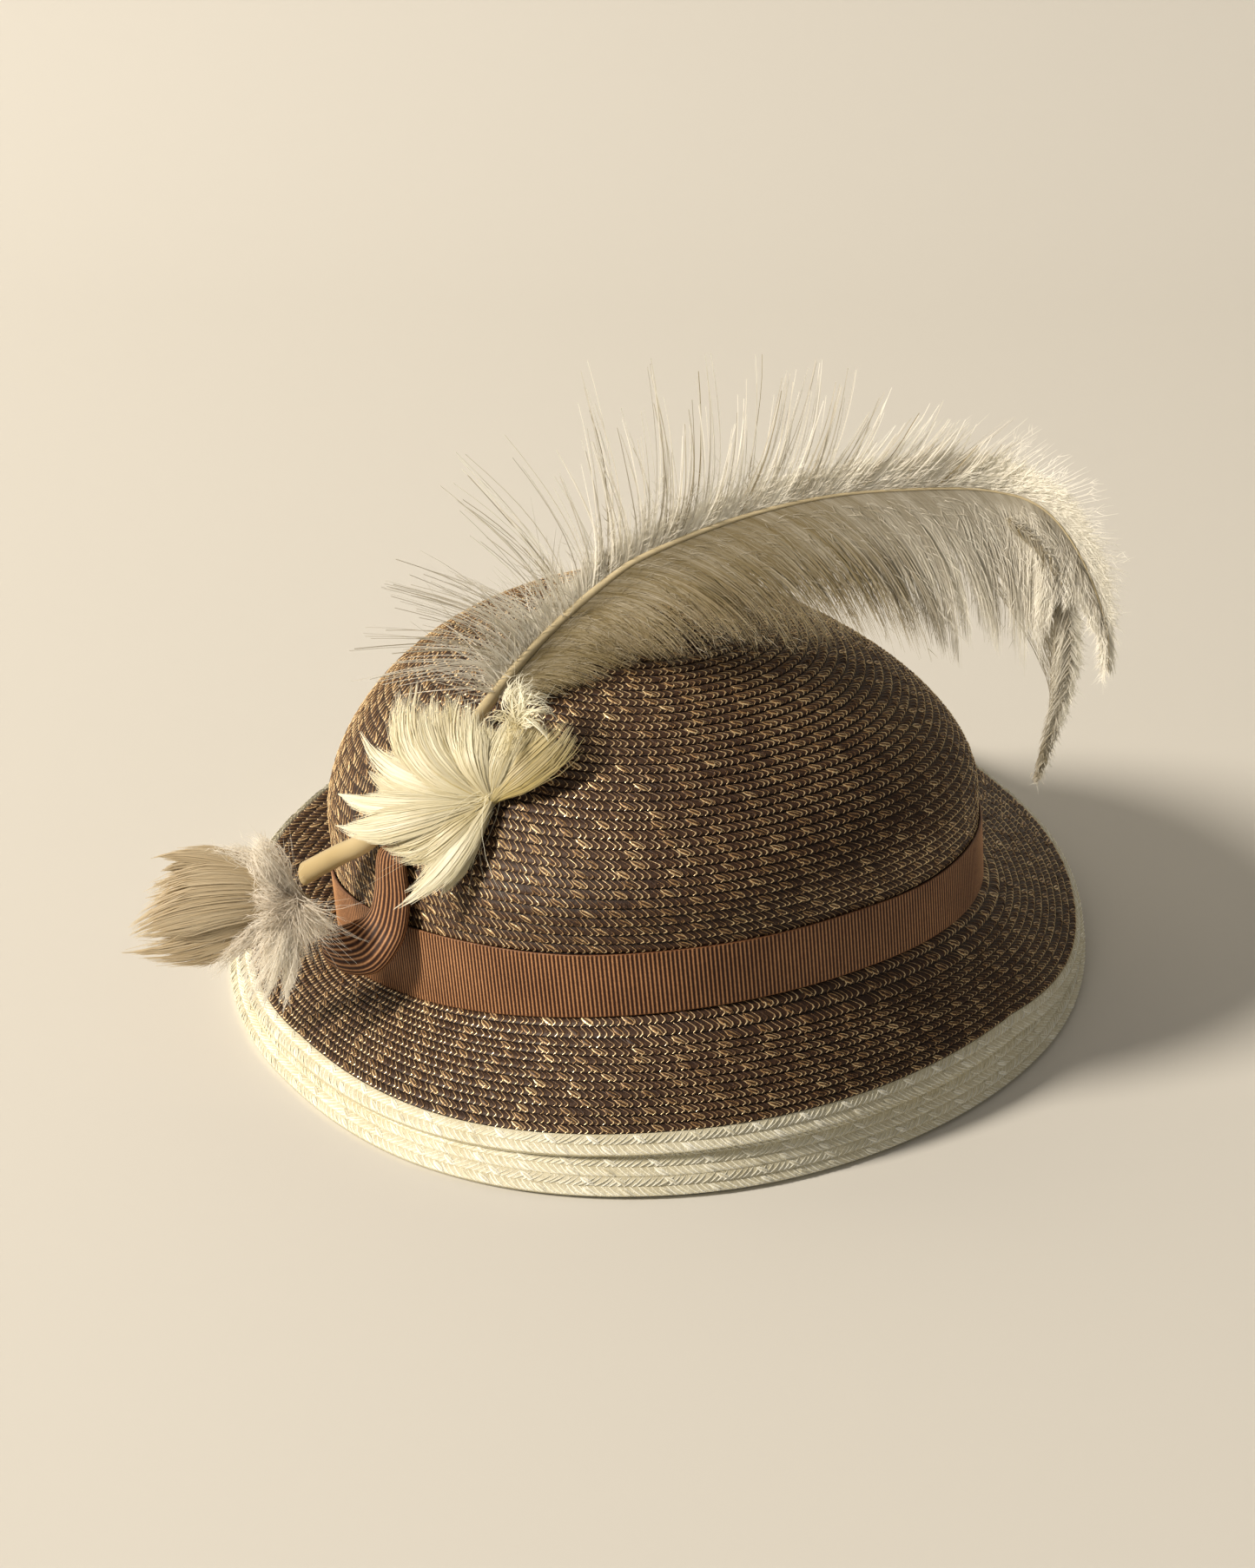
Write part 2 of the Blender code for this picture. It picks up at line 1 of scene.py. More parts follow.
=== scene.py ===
import math
import bpy
import numpy as np
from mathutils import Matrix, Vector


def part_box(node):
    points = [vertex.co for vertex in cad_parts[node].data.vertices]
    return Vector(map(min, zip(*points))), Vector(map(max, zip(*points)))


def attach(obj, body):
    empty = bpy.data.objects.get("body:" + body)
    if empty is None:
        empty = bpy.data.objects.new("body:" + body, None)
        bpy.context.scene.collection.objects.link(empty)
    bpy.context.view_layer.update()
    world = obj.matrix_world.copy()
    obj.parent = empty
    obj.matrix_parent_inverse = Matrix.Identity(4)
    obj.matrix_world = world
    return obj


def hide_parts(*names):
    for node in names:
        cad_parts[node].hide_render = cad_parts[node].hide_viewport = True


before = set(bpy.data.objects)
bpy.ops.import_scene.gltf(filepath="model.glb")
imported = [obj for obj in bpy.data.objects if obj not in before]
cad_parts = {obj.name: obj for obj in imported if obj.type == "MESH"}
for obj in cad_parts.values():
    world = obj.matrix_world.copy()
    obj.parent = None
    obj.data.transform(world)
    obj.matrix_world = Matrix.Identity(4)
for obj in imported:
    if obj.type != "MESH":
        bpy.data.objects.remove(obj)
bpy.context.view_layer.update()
print("frame loaded")

# The photo's side of the hat, in degrees and metres
view = {"elevation": 27.0, "distance": 1.0, "target": (-0.0084, 0.0492, 0.030), "lens": 78.54}

# The hat's sizes, in metres and degrees, as the CAD has them. Directions count from +X.
hat = {
    "crownLength": 0.1814, "crownWidth": 0.1700, "crownHeight": 0.0848, "crownUpright": 0.0310,
    "crownLean": 0.0094, "crownLeanToward": 135, "longWay": 126, "ovalPower": 2.2, "domePower": 1.76,
    "footHeight": 0.0236, "footTilt": 10.4, "footLowSide": 145, "footWave": 0.0036, "footWaveCrest": 80,
    "brimReach": 0.0470, "brimLift": 0.0160, "brimWall": 0.0018, "brimBow": 0.0015,
    "lowerLedge": 0.0108, "creamEdge": 0.0054, "layerGap": 0.0004, "seamGap": 0.0003,
}

# Direction, then shares of brimReach, brimLift and lowerLedge
brimSections = [
    (-180, 0.69, 0.00, 0.30), (-150, 0.78, 0.00, 0.46), (-120, 0.92, 0.00, 0.72), (-90, 0.92, 0.00, 0.92),
    (-60, 0.88, 0.00, 0.92), (-30, 0.84, 0.00, 0.84), (0, 0.88, 0.08, 0.50), (30, 1.00, 0.54, 0.32),
    (60, 1.08, 1.00, 0.40), (90, 1.08, 0.90, 0.48), (120, 1.04, 0.78, 0.48), (150, 0.86, 0.36, 0.40),
]


def unit(vectors):
    return vectors / np.maximum(np.linalg.norm(vectors, axis=-1, keepdims=True), 1e-12)


def smoothRead(rows, places, closed=False):
    # Catmull-Rom curve through the rows, read at places counted in rows
    rows = np.asarray(rows, float)
    places = np.asarray(places, float)
    count = len(rows)
    index = np.floor(places).astype(int)
    if not closed:
        index = np.clip(index, 0, count - 2)
    share = (places - index)[..., None]

    def row(offset):
        at = index + offset
        return rows[at % count] if closed else rows[np.clip(at, 0, count - 1)]

    before, here, after, beyond = row(-1), row(0), row(1), row(2)
    return 0.5 * (2 * here + (after - before) * share
                  + (2 * before - 5 * here + 4 * after - beyond) * share ** 2
                  + (3 * here - before - 3 * after + beyond) * share ** 3)


def ringDistances(rings):
    # How far each ring of points lies from the first, as a mean over the ring
    steps = np.linalg.norm(np.diff(rings, axis=0), axis=2).mean(1)
    return np.concatenate([[0], np.cumsum(steps)])


def evenPath(rows, shares):
    # Points at shares of the length of the smooth curve through the rows
    fine = smoothRead(rows, np.linspace(0, len(rows) - 1, 500))
    travelled = ringDistances(fine[:, None, :3])
    wanted = np.asarray(shares) * travelled[-1]
    return np.stack([np.interp(wanted, travelled, column) for column in fine.T], -1)


def quads(rows, columns, closedRows=False, closedColumns=False):
    # Corner numbers of the faces between neighbouring points of a grid
    down, along = np.meshgrid(np.arange(rows - (not closedRows)), np.arange(columns - (not closedColumns)),
                              indexing="ij")
    below, beside = (down + 1) % rows, (along + 1) % columns
    return np.stack([down * columns + along, down * columns + beside,
                     below * columns + beside, below * columns + along], -1).reshape(-1, 4)


def turnsOf(count):
    # Even directions round the hat, in degrees
    return np.arange(count) * 360 / count - 180


def lids(rings, columns):
    # Triangles that close both ends of a tube on two further points
    step = np.arange(columns)
    after = (step + 1) % columns
    first, last = rings * columns, (rings - 1) * columns
    return np.concatenate([np.stack([step * 0 + first, step, after], -1),
                           np.stack([step * 0 + first + 1, last + after, last + step], -1)])


def addPiece(name, points, faceSets, material, tone=None, body="root", smoothAngle=None):
    # faceSets are arrays of triangles or quads; tone has a value for each point
    points = np.asarray(points, np.float32).reshape(-1, 3)
    corners = np.concatenate([faces.ravel() for faces in faceSets]).astype(np.int32)
    sizes = np.concatenate([np.full(len(faces), faces.shape[1]) for faces in faceSets])
    starts = np.concatenate([[0], np.cumsum(sizes)[:-1]]).astype(np.int32)
    mesh = bpy.data.meshes.new(name)
    mesh.vertices.add(len(points))
    mesh.vertices.foreach_set("co", points.ravel())
    mesh.loops.add(len(corners))
    mesh.loops.foreach_set("vertex_index", corners)
    mesh.polygons.add(len(sizes))
    mesh.polygons.foreach_set("loop_start", starts)
    mesh.update(calc_edges=True)
    if tone is not None:
        made = mesh.attributes.new("tone", "FLOAT", "POINT")
        made.data.foreach_set("value", np.asarray(tone, np.float32).ravel())
    mesh.shade_smooth()
    if smoothAngle:
        mesh.set_sharp_from_angle(angle=math.radians(smoothAngle))
    mesh.materials.append(material)
    piece = bpy.data.objects.new(name, mesh)
    bpy.context.scene.collection.objects.link(piece)
    if body:
        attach(piece, body)
    return piece


class Wire:
    # A shader output; arithmetic on it adds Math nodes
    def __init__(self, finish, socket):
        self.finish, self.socket = finish, socket

    def join(self, operation, left, right):
        return self.finish.node("ShaderNodeMath", {"operation": operation}, {0: left, 1: right})

    def __add__(self, other):
        return self.join("ADD", self, other)

    def __sub__(self, other):
        return self.join("SUBTRACT", self, other)

    def __rsub__(self, other):
        return self.join("SUBTRACT", other, self)

    def __mul__(self, other):
        return self.join("MULTIPLY", self, other)

    __radd__, __rmul__ = __add__, __mul__


class Finish:
    # A material being made: its node tree and its shader
    def __init__(self, name):
        self.material = bpy.data.materials.new(name)
        self.material.use_nodes = True
        self.tree = self.material.node_tree
        self.shader = self.tree.nodes["Principled BSDF"]

    def node(self, kind, settings=None, sockets=None, output=0):
        made = self.tree.nodes.new(kind)
        for key, value in (settings or {}).items():
            if key == "stops":
                ramp = made.color_ramp
                while len(ramp.elements) < len(value):
                    ramp.elements.new(0.5)
                for element, (place, colour) in zip(ramp.elements, value):
                    element.position, element.color = place, (*colour, 1.0)
            else:
                setattr(made, key, value)
        for key, value in (sockets or {}).items():
            if isinstance(value, Wire):
                self.tree.links.new(value.socket, made.inputs[key])
            else:
                made.inputs[key].default_value = value
        return Wire(self, made.outputs[output])

    def noise(self, scale, detail):
        place = self.node("ShaderNodeTexCoord", None, None, "Object")
        return self.node("ShaderNodeTexNoise", None, {"Vector": place, "Scale": scale, "Detail": detail})

    def clamp(self, value):
        return self.node("ShaderNodeClamp", None, {0: value})

    def ramp(self, stops, place):
        return self.node("ShaderNodeValToRGB", {"stops": stops}, {0: place})

    def tone(self):
        return self.node("ShaderNodeAttribute", {"attribute_name": "tone"}, None, "Fac")

    def set(self, **values):
        for key, value in values.items():
            socket = self.shader.inputs[key.replace("_", " ")]
            if isinstance(value, Wire):
                self.tree.links.new(value.socket, socket)
            else:
                socket.default_value = (*value, 1.0) if isinstance(value, tuple) else value


def crownSurface(height, scale, turn, outset=0.0):
    # An oval ring at a height over the foot; its plane turns level from the foot to the top.
    # Superellipse: radius = (|cos|^p + |sin|^p)^(-1/p), stretched to the crown's length and width
    height, scale, turn = np.broadcast_arrays(height, scale, turn)
    share = height / hat["crownHeight"]
    slope = math.tan(math.radians(hat["footTilt"])) * (1 - share)
    low = math.radians(hat["footLowSide"])
    up = unit(np.stack([slope * math.cos(low), slope * math.sin(low), np.ones_like(slope)], -1))
    across = unit(np.array([1.0, 0.0, 0.0]) - up[..., :1] * up)
    along = np.cross(up, across)
    angle = np.radians(turn)
    longWay = math.radians(hat["longWay"])
    cosine, sine = np.cos(angle - longWay), np.sin(angle - longWay)
    power = hat["ovalPower"]
    square = (np.abs(cosine) ** power + np.abs(sine) ** power) ** (-1 / power)
    far = (hat["crownLength"] / 2 * scale + outset) * cosine * square
    wide = (hat["crownWidth"] / 2 * scale + outset) * sine * square
    x = far * math.cos(longWay) - wide * math.sin(longWay)
    y = far * math.sin(longWay) + wide * math.cos(longWay)
    lean = math.radians(hat["crownLeanToward"])
    middle = np.stack([hat["crownLean"] * share * math.cos(lean), hat["crownLean"] * share * math.sin(lean),
                       hat["footHeight"] + height], -1)
    ring = middle + x[..., None] * across + y[..., None] * along
    wave = hat["footWave"] * np.cos(2 * (angle - math.radians(hat["footWaveCrest"]))) * (1 - share)
    ring[..., 2] += wave
    return ring


# The CAD stands in the middle of its own box. Its band, read here at the same points, gives that move
cadBand = {"directions": 48, "heights": (0.0010, 0.0104, 0.0198), "outset": 0.0012}
bandPoints = [crownSurface(height, 1.0, turnsOf(cadBand["directions"]), cadBand["outset"])
              for height in cadBand["heights"]]
hatPlace = np.array([*(np.array(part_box("hat_band")[0])[:2] - np.concatenate(bandPoints).min(0)[:2]), 0.0])
print("hat stands at", hatPlace.round(5))


def crownProfile(shares, turn):
    # Share 0 is the top and 1 the foot, at even distances down the crown in each direction
    fine = np.linspace(0, 1, 160)
    quarter = fine[fine <= 0.75] / 0.75 * math.pi / 2
    heights = np.concatenate([hat["crownUpright"] + (hat["crownHeight"] - hat["crownUpright"])
                              * np.cos(quarter) ** (2 / hat["domePower"]),
                              np.linspace(hat["crownUpright"], 0, np.sum(fine > 0.75) + 1)[1:]])
    scales = np.concatenate([np.sin(quarter) ** (2 / hat["domePower"]), np.ones(np.sum(fine > 0.75))])
    travelled = ringDistances(crownSurface(heights[:, None], scales[:, None], turn))
    height, scale = (np.interp(shares * travelled[-1], travelled, column) for column in (heights, scales))
    return crownSurface(height[:, None], scale[:, None], turn), travelled[-1]


def brimFrame(turn):
    # Foot, slope, reach, lift and ledge at each direction; the slope brings the edge to its lift
    foot = crownSurface(0.0, 1.0, turn)
    values = np.clip(smoothRead([row[1:] for row in brimSections], (turn + 180) / 30, True), 0, None)
    reach, lift = hat["brimReach"] * values[:, 0], hat["brimLift"] * values[:, 1]
    slope = np.zeros(len(turn))
    for _ in range(6):
        stack = (2 * hat["brimWall"] + hat["layerGap"]) / np.cos(slope)
        slope = np.arcsin((foot[:, 2] - stack - lift) / reach)
    root = foot - np.stack([0 * stack, 0 * stack, stack], -1)
    return {"root": root, "outward": unit(foot[:, :2]), "reach": reach, "slope": slope,
            "ledge": hat["lowerLedge"] * values[:, 2]}


def brimSurface(brim, distance, height):
    # A point a distance down the slope, and a height square off the underside; the slope bows a little.
    # Within 4 mm of the crown the height turns upright, so that the layers meet the crown's wall
    share = distance / brim["reach"]
    bow = hat["brimBow"] * 4 * share * (1 - share) + height
    upright = np.clip(1 - (distance - hat["seamGap"]) / 0.004, 0, 1)
    cosine, sine = np.cos(brim["slope"]), np.sin(brim["slope"])
    run = distance * cosine + bow * sine * (1 - upright)
    drop = distance * sine - bow * (cosine * (1 - upright) + upright / cosine)
    ring = np.broadcast_to(brim["root"], (*run.shape, 3)).copy()
    ring[..., :2] += brim["outward"] * run[..., None]
    ring[..., 2] -= drop
    return ring


class Sheet:
    # A surface sewn in rows: points and normals on a grid, with a few steps to each row.
    # relief scales the rows' own relief, and base is the tone beside the stitches' crests
    def __init__(self, points, rows, relief=1.0, base=0.0):
        self.points, self.relief, self.base = points + hatPlace, relief, base
        self.steps = (len(points) - 1) / rows
        down = np.gradient(self.points, axis=0)
        along = np.roll(self.points, -1, axis=1) - np.roll(self.points, 1, axis=1)
        self.normals = unit(np.cross(down, along))
        self.girths = np.linalg.norm(np.roll(self.points, -1, axis=1) - self.points, axis=2).sum(1)

    def lay(self, row, turn, lift):
        # Straight-line reading between grid points, then up along the normal by the lift
        row, turn, lift = np.broadcast_arrays(row, turn, lift)
        down = np.clip(row * self.steps, 0, self.points.shape[0] - 1.0001)
        count = self.points.shape[1]
        along = (turn + 180) / 360 * count
        i, j = np.floor(down).astype(int), np.floor(along).astype(int)
        u, v = (down - i)[..., None], (along - j)[..., None]
        j0, j1 = j % count, (j + 1) % count

        def read(grid):
            return ((grid[i, j0] * (1 - u) + grid[i + 1, j0] * u) * (1 - v)
                    + (grid[i, j1] * (1 - u) + grid[i + 1, j1] * u) * v)

        return read(self.points) + unit(read(self.normals)) * lift[..., None]

    def girth(self, row):
        return np.interp(row * self.steps, np.arange(len(self.girths)), self.girths)


braid = {
    "low": -0.00040, "high": 0.00010,      # the row's own relief, from its tucked edge to its free one
    "pitch": 0.0026, "stitchPitch": 0.0019, "stitchRise": 0.00040, "stitchWidth": 0.00066,
    "stitchSink": 0.00004,
    "floatEvery": 0.0120, "floatLength": 0.0038, "floatWidth": 0.00062, "floatRise": 0.00036,
}

# Stations of a stitch: place across its row, bend along it, then shares of width, rise and tone; the tone
# column brightens the painted highlight towards the lower arm
stitchStations = np.array([
    (0.02, -0.55, 0.60, 0.20, 0.80), (0.34, 0.10, 0.75, 0.55, 0.92), (0.62, 0.60, 1.00, 0.85, 1.00),
    (0.82, 0.66, 1.20, 1.00, 1.35), (1.00, 0.25, 0.80, 0.45, 1.30),
])


def rowRelief(share):
    # Each row climbs from under its neighbour to a rounded free edge
    climb = np.clip(share / 0.62, 0, 1)
    fall = np.clip((share - 0.80) / 0.20, 0, 1)
    return braid["low"] + (braid["high"] - braid["low"]) * np.sin(climb * math.pi / 2) * np.sqrt(
        np.clip(1 - 0.75 * fall ** 2, 0, 1))


def rowStations(first, last):
    # Places in rows, lifts and tones of the braid's outer skin; the tones are painted shade, darkest where
    # each row tucks under its neighbour, and a painted highlight along each row's crest
    inRow = np.array([0.0, 0.22, 0.62, 0.86, 0.985])
    rows = np.arange(first, last)
    places = (rows[:, None] + inRow[None]).ravel()
    lifts = np.tile(rowRelief(inRow), len(rows))
    tones = np.tile([0.0, 0.35, 0.85, 1.0, 0.15], len(rows))
    return np.append(places, last), np.append(lifts, braid["low"]), np.append(tones, 0.0)


def addStitches(name, sheet, rows, seed, material):
    # Each stitch is a low ridge bent like a bracket across its row, and pale lens-shaped floats lie between.
    # Both have five stations, each with a crest and two sides
    rng = np.random.default_rng(seed)
    across, bend, wide, rise, shade = stitchStations.T[..., None]
    side, crest = np.array([-1.0, 0.0, 1.0]), np.array([0.0, 1.0, 0.0])
    pointSets, toneSets = [], []
    for row in rows:
        girth = sheet.girth(row + 0.5)
        count = max(int(round(girth / braid["stitchPitch"])), 6)
        turn = (np.arange(count) + rng.random()) * 360 / count - 180
        turn = turn + rng.normal(0, 0.10, count) * 360 / count
        size = rng.normal(1.0, 0.12, (count, 1, 1))
        # On cream straw the stitches are straight and lean the other way every second row
        line = np.linspace(-0.95, 0.95, 5)[:, None] * (1 if row % 2 else -1) if sheet.base else bend
        shift = line * braid["stitchPitch"] * size + side / 2 * wide * braid["stitchWidth"]
        ridge = crest * rise * braid["stitchRise"] * size
        lifts = rowRelief(across) * sheet.relief - braid["stitchSink"] + ridge
        pointSets.append(sheet.lay(row + across, turn[:, None, None] + shift * 360 / girth, lifts))
        # A painted highlight along the crest and painted shade at both sides, so that a stitch shows as a
        # thin line
        tone = np.clip(rng.normal(0.88, 0.17, (count, 1, 1)), 0.3, 1.2) * crest * shade
        toneSets.append(tone + sheet.base * (1 - crest))
    along = np.linspace(-0.5, 0.5, 5)[:, None]
    lens = 1 - (2 * along) ** 2
    # A float runs slantwise, so its width lies square to the slant
    width = side * np.sqrt(np.clip(lens, 0.02, 1)) * braid["floatWidth"]
    inRow = np.clip(0.55 + 0.78 * along - width * 0.85 / braid["pitch"], 0.02, 1.0)
    lift = braid["high"] + crest * np.sqrt(np.clip(lens, 0, 1)) * braid["floatRise"]
    # Bright along both sides and dark between: a float is a loop of two thin lines
    pair = np.array([1.0, 0.15 + sheet.base * 0.6, 1.0]) * np.ones((5, 1))
    for row in rows:
        girth = sheet.girth(row + 0.5)
        count = int(round(girth / braid["floatEvery"]))
        if count < 3:
            continue
        turn = (np.arange(count) + rng.random() + rng.normal(0, 0.13, count)) * 360 / count - 180
        shift = along * braid["floatLength"] + width * 0.5
        pointSets.append(sheet.lay(row + inRow, turn[:, None, None] + shift * 360 / girth, lift))
        toneSets.append(np.clip(rng.normal(0.85, 0.15, (count, 1, 1)), 0.4, 1.2) * pair)
    points = np.concatenate(pointSets).reshape(-1, 3)
    faces = np.arange(len(points) // 15)[:, None, None] * 15 + quads(5, 3)
    piece = addPiece(name, points, [faces.reshape(-1, 4)], material, tone=np.concatenate(toneSets))


def strawFinish(name, stops, roughness, gloss=0):
    # Plaited straw: its tone differs from strand to strand, with tiny flecks of painted sparkle and broad
    # patches of wear
    made = Finish(name)
    tone, patches, grain = made.tone(), made.noise(45, 3), made.noise(900, 2)
    # Tiny flecks lifted towards gold are painted sparkle; they also roughen the bump
    paintedSparkleFlecks = made.clamp((made.noise(2400, 1) - 0.60) * 5.0)
    share = tone + (patches - 0.5) * 0.22 + (grain - 0.5) * 0.30 + paintedSparkleFlecks * 0.36
    made.set(Base_Color=made.ramp(stops, share), Specular_IOR_Level=0.35,
             Roughness=roughness + 0.30 - tone * 0.30 + (grain - 0.5) * 0.2)
    if gloss:
        made.set(Metallic=made.clamp((tone - 0.4) * gloss))
    made.set(Normal=made.node("ShaderNodeBump", None,
                              {"Height": grain + paintedSparkleFlecks * 0.5, "Strength": 0.5, "Distance": 0.0003}))
    return made.material


# The ramps' dark ends are painted shade for the gaps between rows and beside the stitches, and their bright
# ends are painted glints
brownStraw = strawFinish("brownStraw", [(0.0, (0.012, 0.005, 0.003)), (0.42, (0.064, 0.029, 0.013)),
                                        (0.68, (0.46, 0.27, 0.11)), (1.0, (1.0, 0.82, 0.50))], 0.34, 0.75)
creamStraw = strawFinish("creamStraw", [(0.0, (0.36, 0.29, 0.12)), (0.40, (0.68, 0.64, 0.48)),
                                        (0.66, (0.97, 0.95, 0.80)), (1.0, (1.0, 1.0, 0.92))], 0.42)
skinTones = {"brown_straw": (0.02, 0.31), "cream_straw": (0.30, 0.42)}

sheetTurns = turnsOf(720)


def skinTone(tones, plainRings, columns, slotName, caps=0):
    # The rows' tones of painted shade and highlight on the outer rings, and an even one inside
    low, high = skinTones[slotName]
    rings = np.concatenate([low + (high - low) * tones, np.full(plainRings, (low + high) / 2)])
    return np.append(np.repeat(rings, columns), np.full(caps, (low + high) / 2))


# Crown: rows from the tip to the foot, the wall's inside, and its rim
crown = {"rows": 51, "columns": 240, "wall": 0.0016, "stitchedRows": 44, "innerRows": 26}
crownGrid, crownArc = crownProfile(np.linspace(0, 1, crown["rows"] * 4 + 1), sheetTurns)
crownSheet = Sheet(crownGrid, crown["rows"])
print("crown arc", round(crownArc * 1000, 1), "mm, row pitch", round(crownArc * 1000 / crown["rows"], 2))


def makeCrown():
    turn, wall, innerRows = turnsOf(crown["columns"]), crown["wall"], crown["innerRows"]
    places, lifts, tones = (values[1:] for values in rowStations(0, crown["rows"]))
    # Under the ribbon no row stands out
    lifts = np.where(places > crown["stitchedRows"] + 0.2, np.minimum(lifts, -0.0001), lifts)
    outer = crownSheet.lay(places[:, None], turn, lifts[:, None])
    inner = crownSheet.lay(np.linspace(crown["rows"], 0.3, innerRows)[:, None], turn, -wall)
    inner[0, :, 2] = outer[-1, :, 2]
    points = np.concatenate([outer, inner])
    rings, columns = points.shape[:2]
    tips = crownSheet.lay(0.0, 0.0, np.array([0.0001, -wall]))
    piece = addPiece("crown_straw", np.concatenate([points.reshape(-1, 3), tips]),
                     [quads(rings, columns, False, True)[:, ::-1], lids(rings, columns)], brownStraw,
                     tone=skinTone(tones, innerRows, columns, "brown_straw", 2), smoothAngle=50)
    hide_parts("crown_side", "crown_tip")
    addStitches("crown_stitches", crownSheet, range(1, crown["stitchedRows"]), 11, brownStraw)
    print("crown done")


makeCrown()

# Brim: the upper layer's brown rows, its cream edge, and the lower layer. plain counts an underside's rings,
# and the lower layer is stitched only from the row that shows
brimRows = {"brown": 13, "cream": 2, "under": 18, "columns": 300, "brownPlain": 6, "creamPlain": 3,
            "underPlain": 18, "underFirst": 12, "edgeGap": 0.0001, "creamRelief": 0.35, "creamBase": 0.34}
brimAt = brimFrame(sheetTurns)
brimTop = 2 * hat["brimWall"] + hat["layerGap"]
# At the back the cream rows are nearly covered: shares of their width every 30 degrees from -180
backShare = np.interp(sheetTurns, np.arange(-180, 181, 30),
                      [0.70, 1.0, 1.0, 1.0, 1.0, 1.0, 0.60, 0.30, 0.25, 0.25, 0.25, 0.30, 0.70])
creamEdge = hat["creamEdge"] * backShare
brownEnd = brimAt["reach"] - brimAt["ledge"] * backShare - creamEdge - hat["seamGap"]


def bandOfRows(start, end, rows, height, relief=1.0, base=0.0):
    # Shares of the distance are spaced so that the rows are even along the surface itself
    fine = np.linspace(0, 1, 200)[:, None]
    travelled = ringDistances(brimSurface(brimAt, start + (end - start) * fine, height + 0 * fine))
    shares = np.interp(np.linspace(0, travelled[-1], rows * 4 + 1), travelled, fine[:, 0])[:, None]
    points = brimSurface(brimAt, start + (end - start) * shares, height + 0 * shares)
    return Sheet(points, rows, relief, base)


def makeBrimLayer(name, node, sheet, rows, plain, material, slotName, seed, firstStitched=0):
    # Skin of rows above, a rounded outer edge, and the plain underside a wall lower
    turn = turnsOf(brimRows["columns"])
    places, lifts, tones = rowStations(0, rows)
    above = sheet.lay(places[:, None], turn, lifts[:, None] * sheet.relief)
    below = sheet.lay(np.linspace(rows, 0, plain)[:, None], turn, -hat["brimWall"])
    points = np.concatenate([above, below])
    rings, columns = points.shape[:2]
    piece = addPiece(name, points, [quads(rings, columns, True, True)[:, ::-1]], material,
                     tone=skinTone(tones, plain, columns, slotName), smoothAngle=50)
    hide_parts(node)
    addStitches(name + "_stitches", sheet, range(firstStitched, rows), seed, material)


creamLook = brimRows["creamRelief"], brimRows["creamBase"]
edgeStart = brownEnd + brimRows["edgeGap"]
brownSheet = bandOfRows(hat["seamGap"], brownEnd, brimRows["brown"], brimTop)
edgeSheet = bandOfRows(edgeStart, edgeStart + creamEdge, brimRows["cream"], brimTop, *creamLook)
lowerSheet = bandOfRows(0 * brownEnd, brimAt["reach"], brimRows["under"], hat["brimWall"], *creamLook)
makeBrimLayer("brim_brown_rows", "brim_upper", brownSheet, brimRows["brown"], brimRows["brownPlain"],
              brownStraw, "brown_straw", 21)
makeBrimLayer("brim_cream_rows", "brim_upper_edge", edgeSheet, brimRows["cream"], brimRows["creamPlain"],
              creamStraw, "cream_straw", 31)
makeBrimLayer("lower_brim_rows", "under_brim", lowerSheet, brimRows["under"], brimRows["underPlain"],
              creamStraw, "cream_straw", 41, brimRows["underFirst"])
print("brim done")


def hatPoint(across, depth, up):
    # A place by shares of half the crown's length, half its width, and its height over the foot
    return np.stack([np.asarray(across) * hat["crownLength"] / 2, np.asarray(depth) * hat["crownWidth"] / 2,
                     hat["footHeight"] + np.asarray(up) * hat["crownHeight"]], -1) + hatPlace


def ribbonFinish():
    # Cord-like ribs: a painted highlight on each rib and painted shade, nearly black, between them, with a
    # soft sheen
    made = Finish("ribbedRibbon")
    share = made.tone() + (made.noise(70, 2) - 0.5) * 0.20 + (made.noise(1500, 2) - 0.5) * 0.25
    stops = [(0.0, (0.009, 0.003, 0.002)), (0.45, (0.075, 0.026, 0.011)), (1.0, (0.68, 0.36, 0.17))]
    made.set(Base_Color=made.ramp(stops, share), Roughness=0.5, Specular_IOR_Level=0.2)
    return made.material


ribbonLook = ribbonFinish()
# Heights on the band's outer face over its lower edge, and at each the share that is plain edging
ribbon = {"low": -0.0003, "outset": 0.00045, "thick": 0.0006, "ribs": 500, "ribRise": 0.00020,
          "heights": [0, 0.0003, 0.0008, 0.0100, 0.0192, 0.0198, 0.0201],
          "plain": [1, 0.4, 0, 0, 0, 0.4, 1]}


def makeBand():
    # A ring of ribbon: radius = crown + outset + thickness + a small cosine for each rib
    columns = ribbon["ribs"] * 4
    turn = turnsOf(columns)
    rib = 0.5 + 0.5 * np.cos(np.arange(columns) * math.pi / 2)
    heights, plain = np.array(ribbon["heights"])[:, None], np.array(ribbon["plain"])[:, None]
    wander = 0.00025 * np.sin(np.radians(turn) * 5 + 1) + 0.00015 * np.sin(np.radians(turn) * 11)
    lift = ribbon["outset"] + ribbon["thick"] + ribbon["ribRise"] * (rib * (1 - plain) + 0.4 * plain)
    height = ribbon["low"] + heights + wander * (heights > 0.01)
    outer = crownSurface(height, 1.0, turn[None], lift)
    inner = crownSurface(height[[6, 3, 0]], 1.0, turn[None], ribbon["outset"])
    points = np.concatenate([outer, inner]) + hatPlace
    # Light on the ribs and dark between them: painted highlight and painted shade
    tone = np.concatenate([rib * (1 - plain) + 0.62 * plain, np.full((3, columns), 0.3)]) * 0.85 + 0.05
    piece = addPiece("ribbon_band", points, [quads(len(points), columns, True, True)], ribbonLook, tone=tone)
    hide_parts("hat_band")
    around = np.linalg.norm(np.roll(outer[3], -1, axis=0) - outer[3], axis=1).sum()


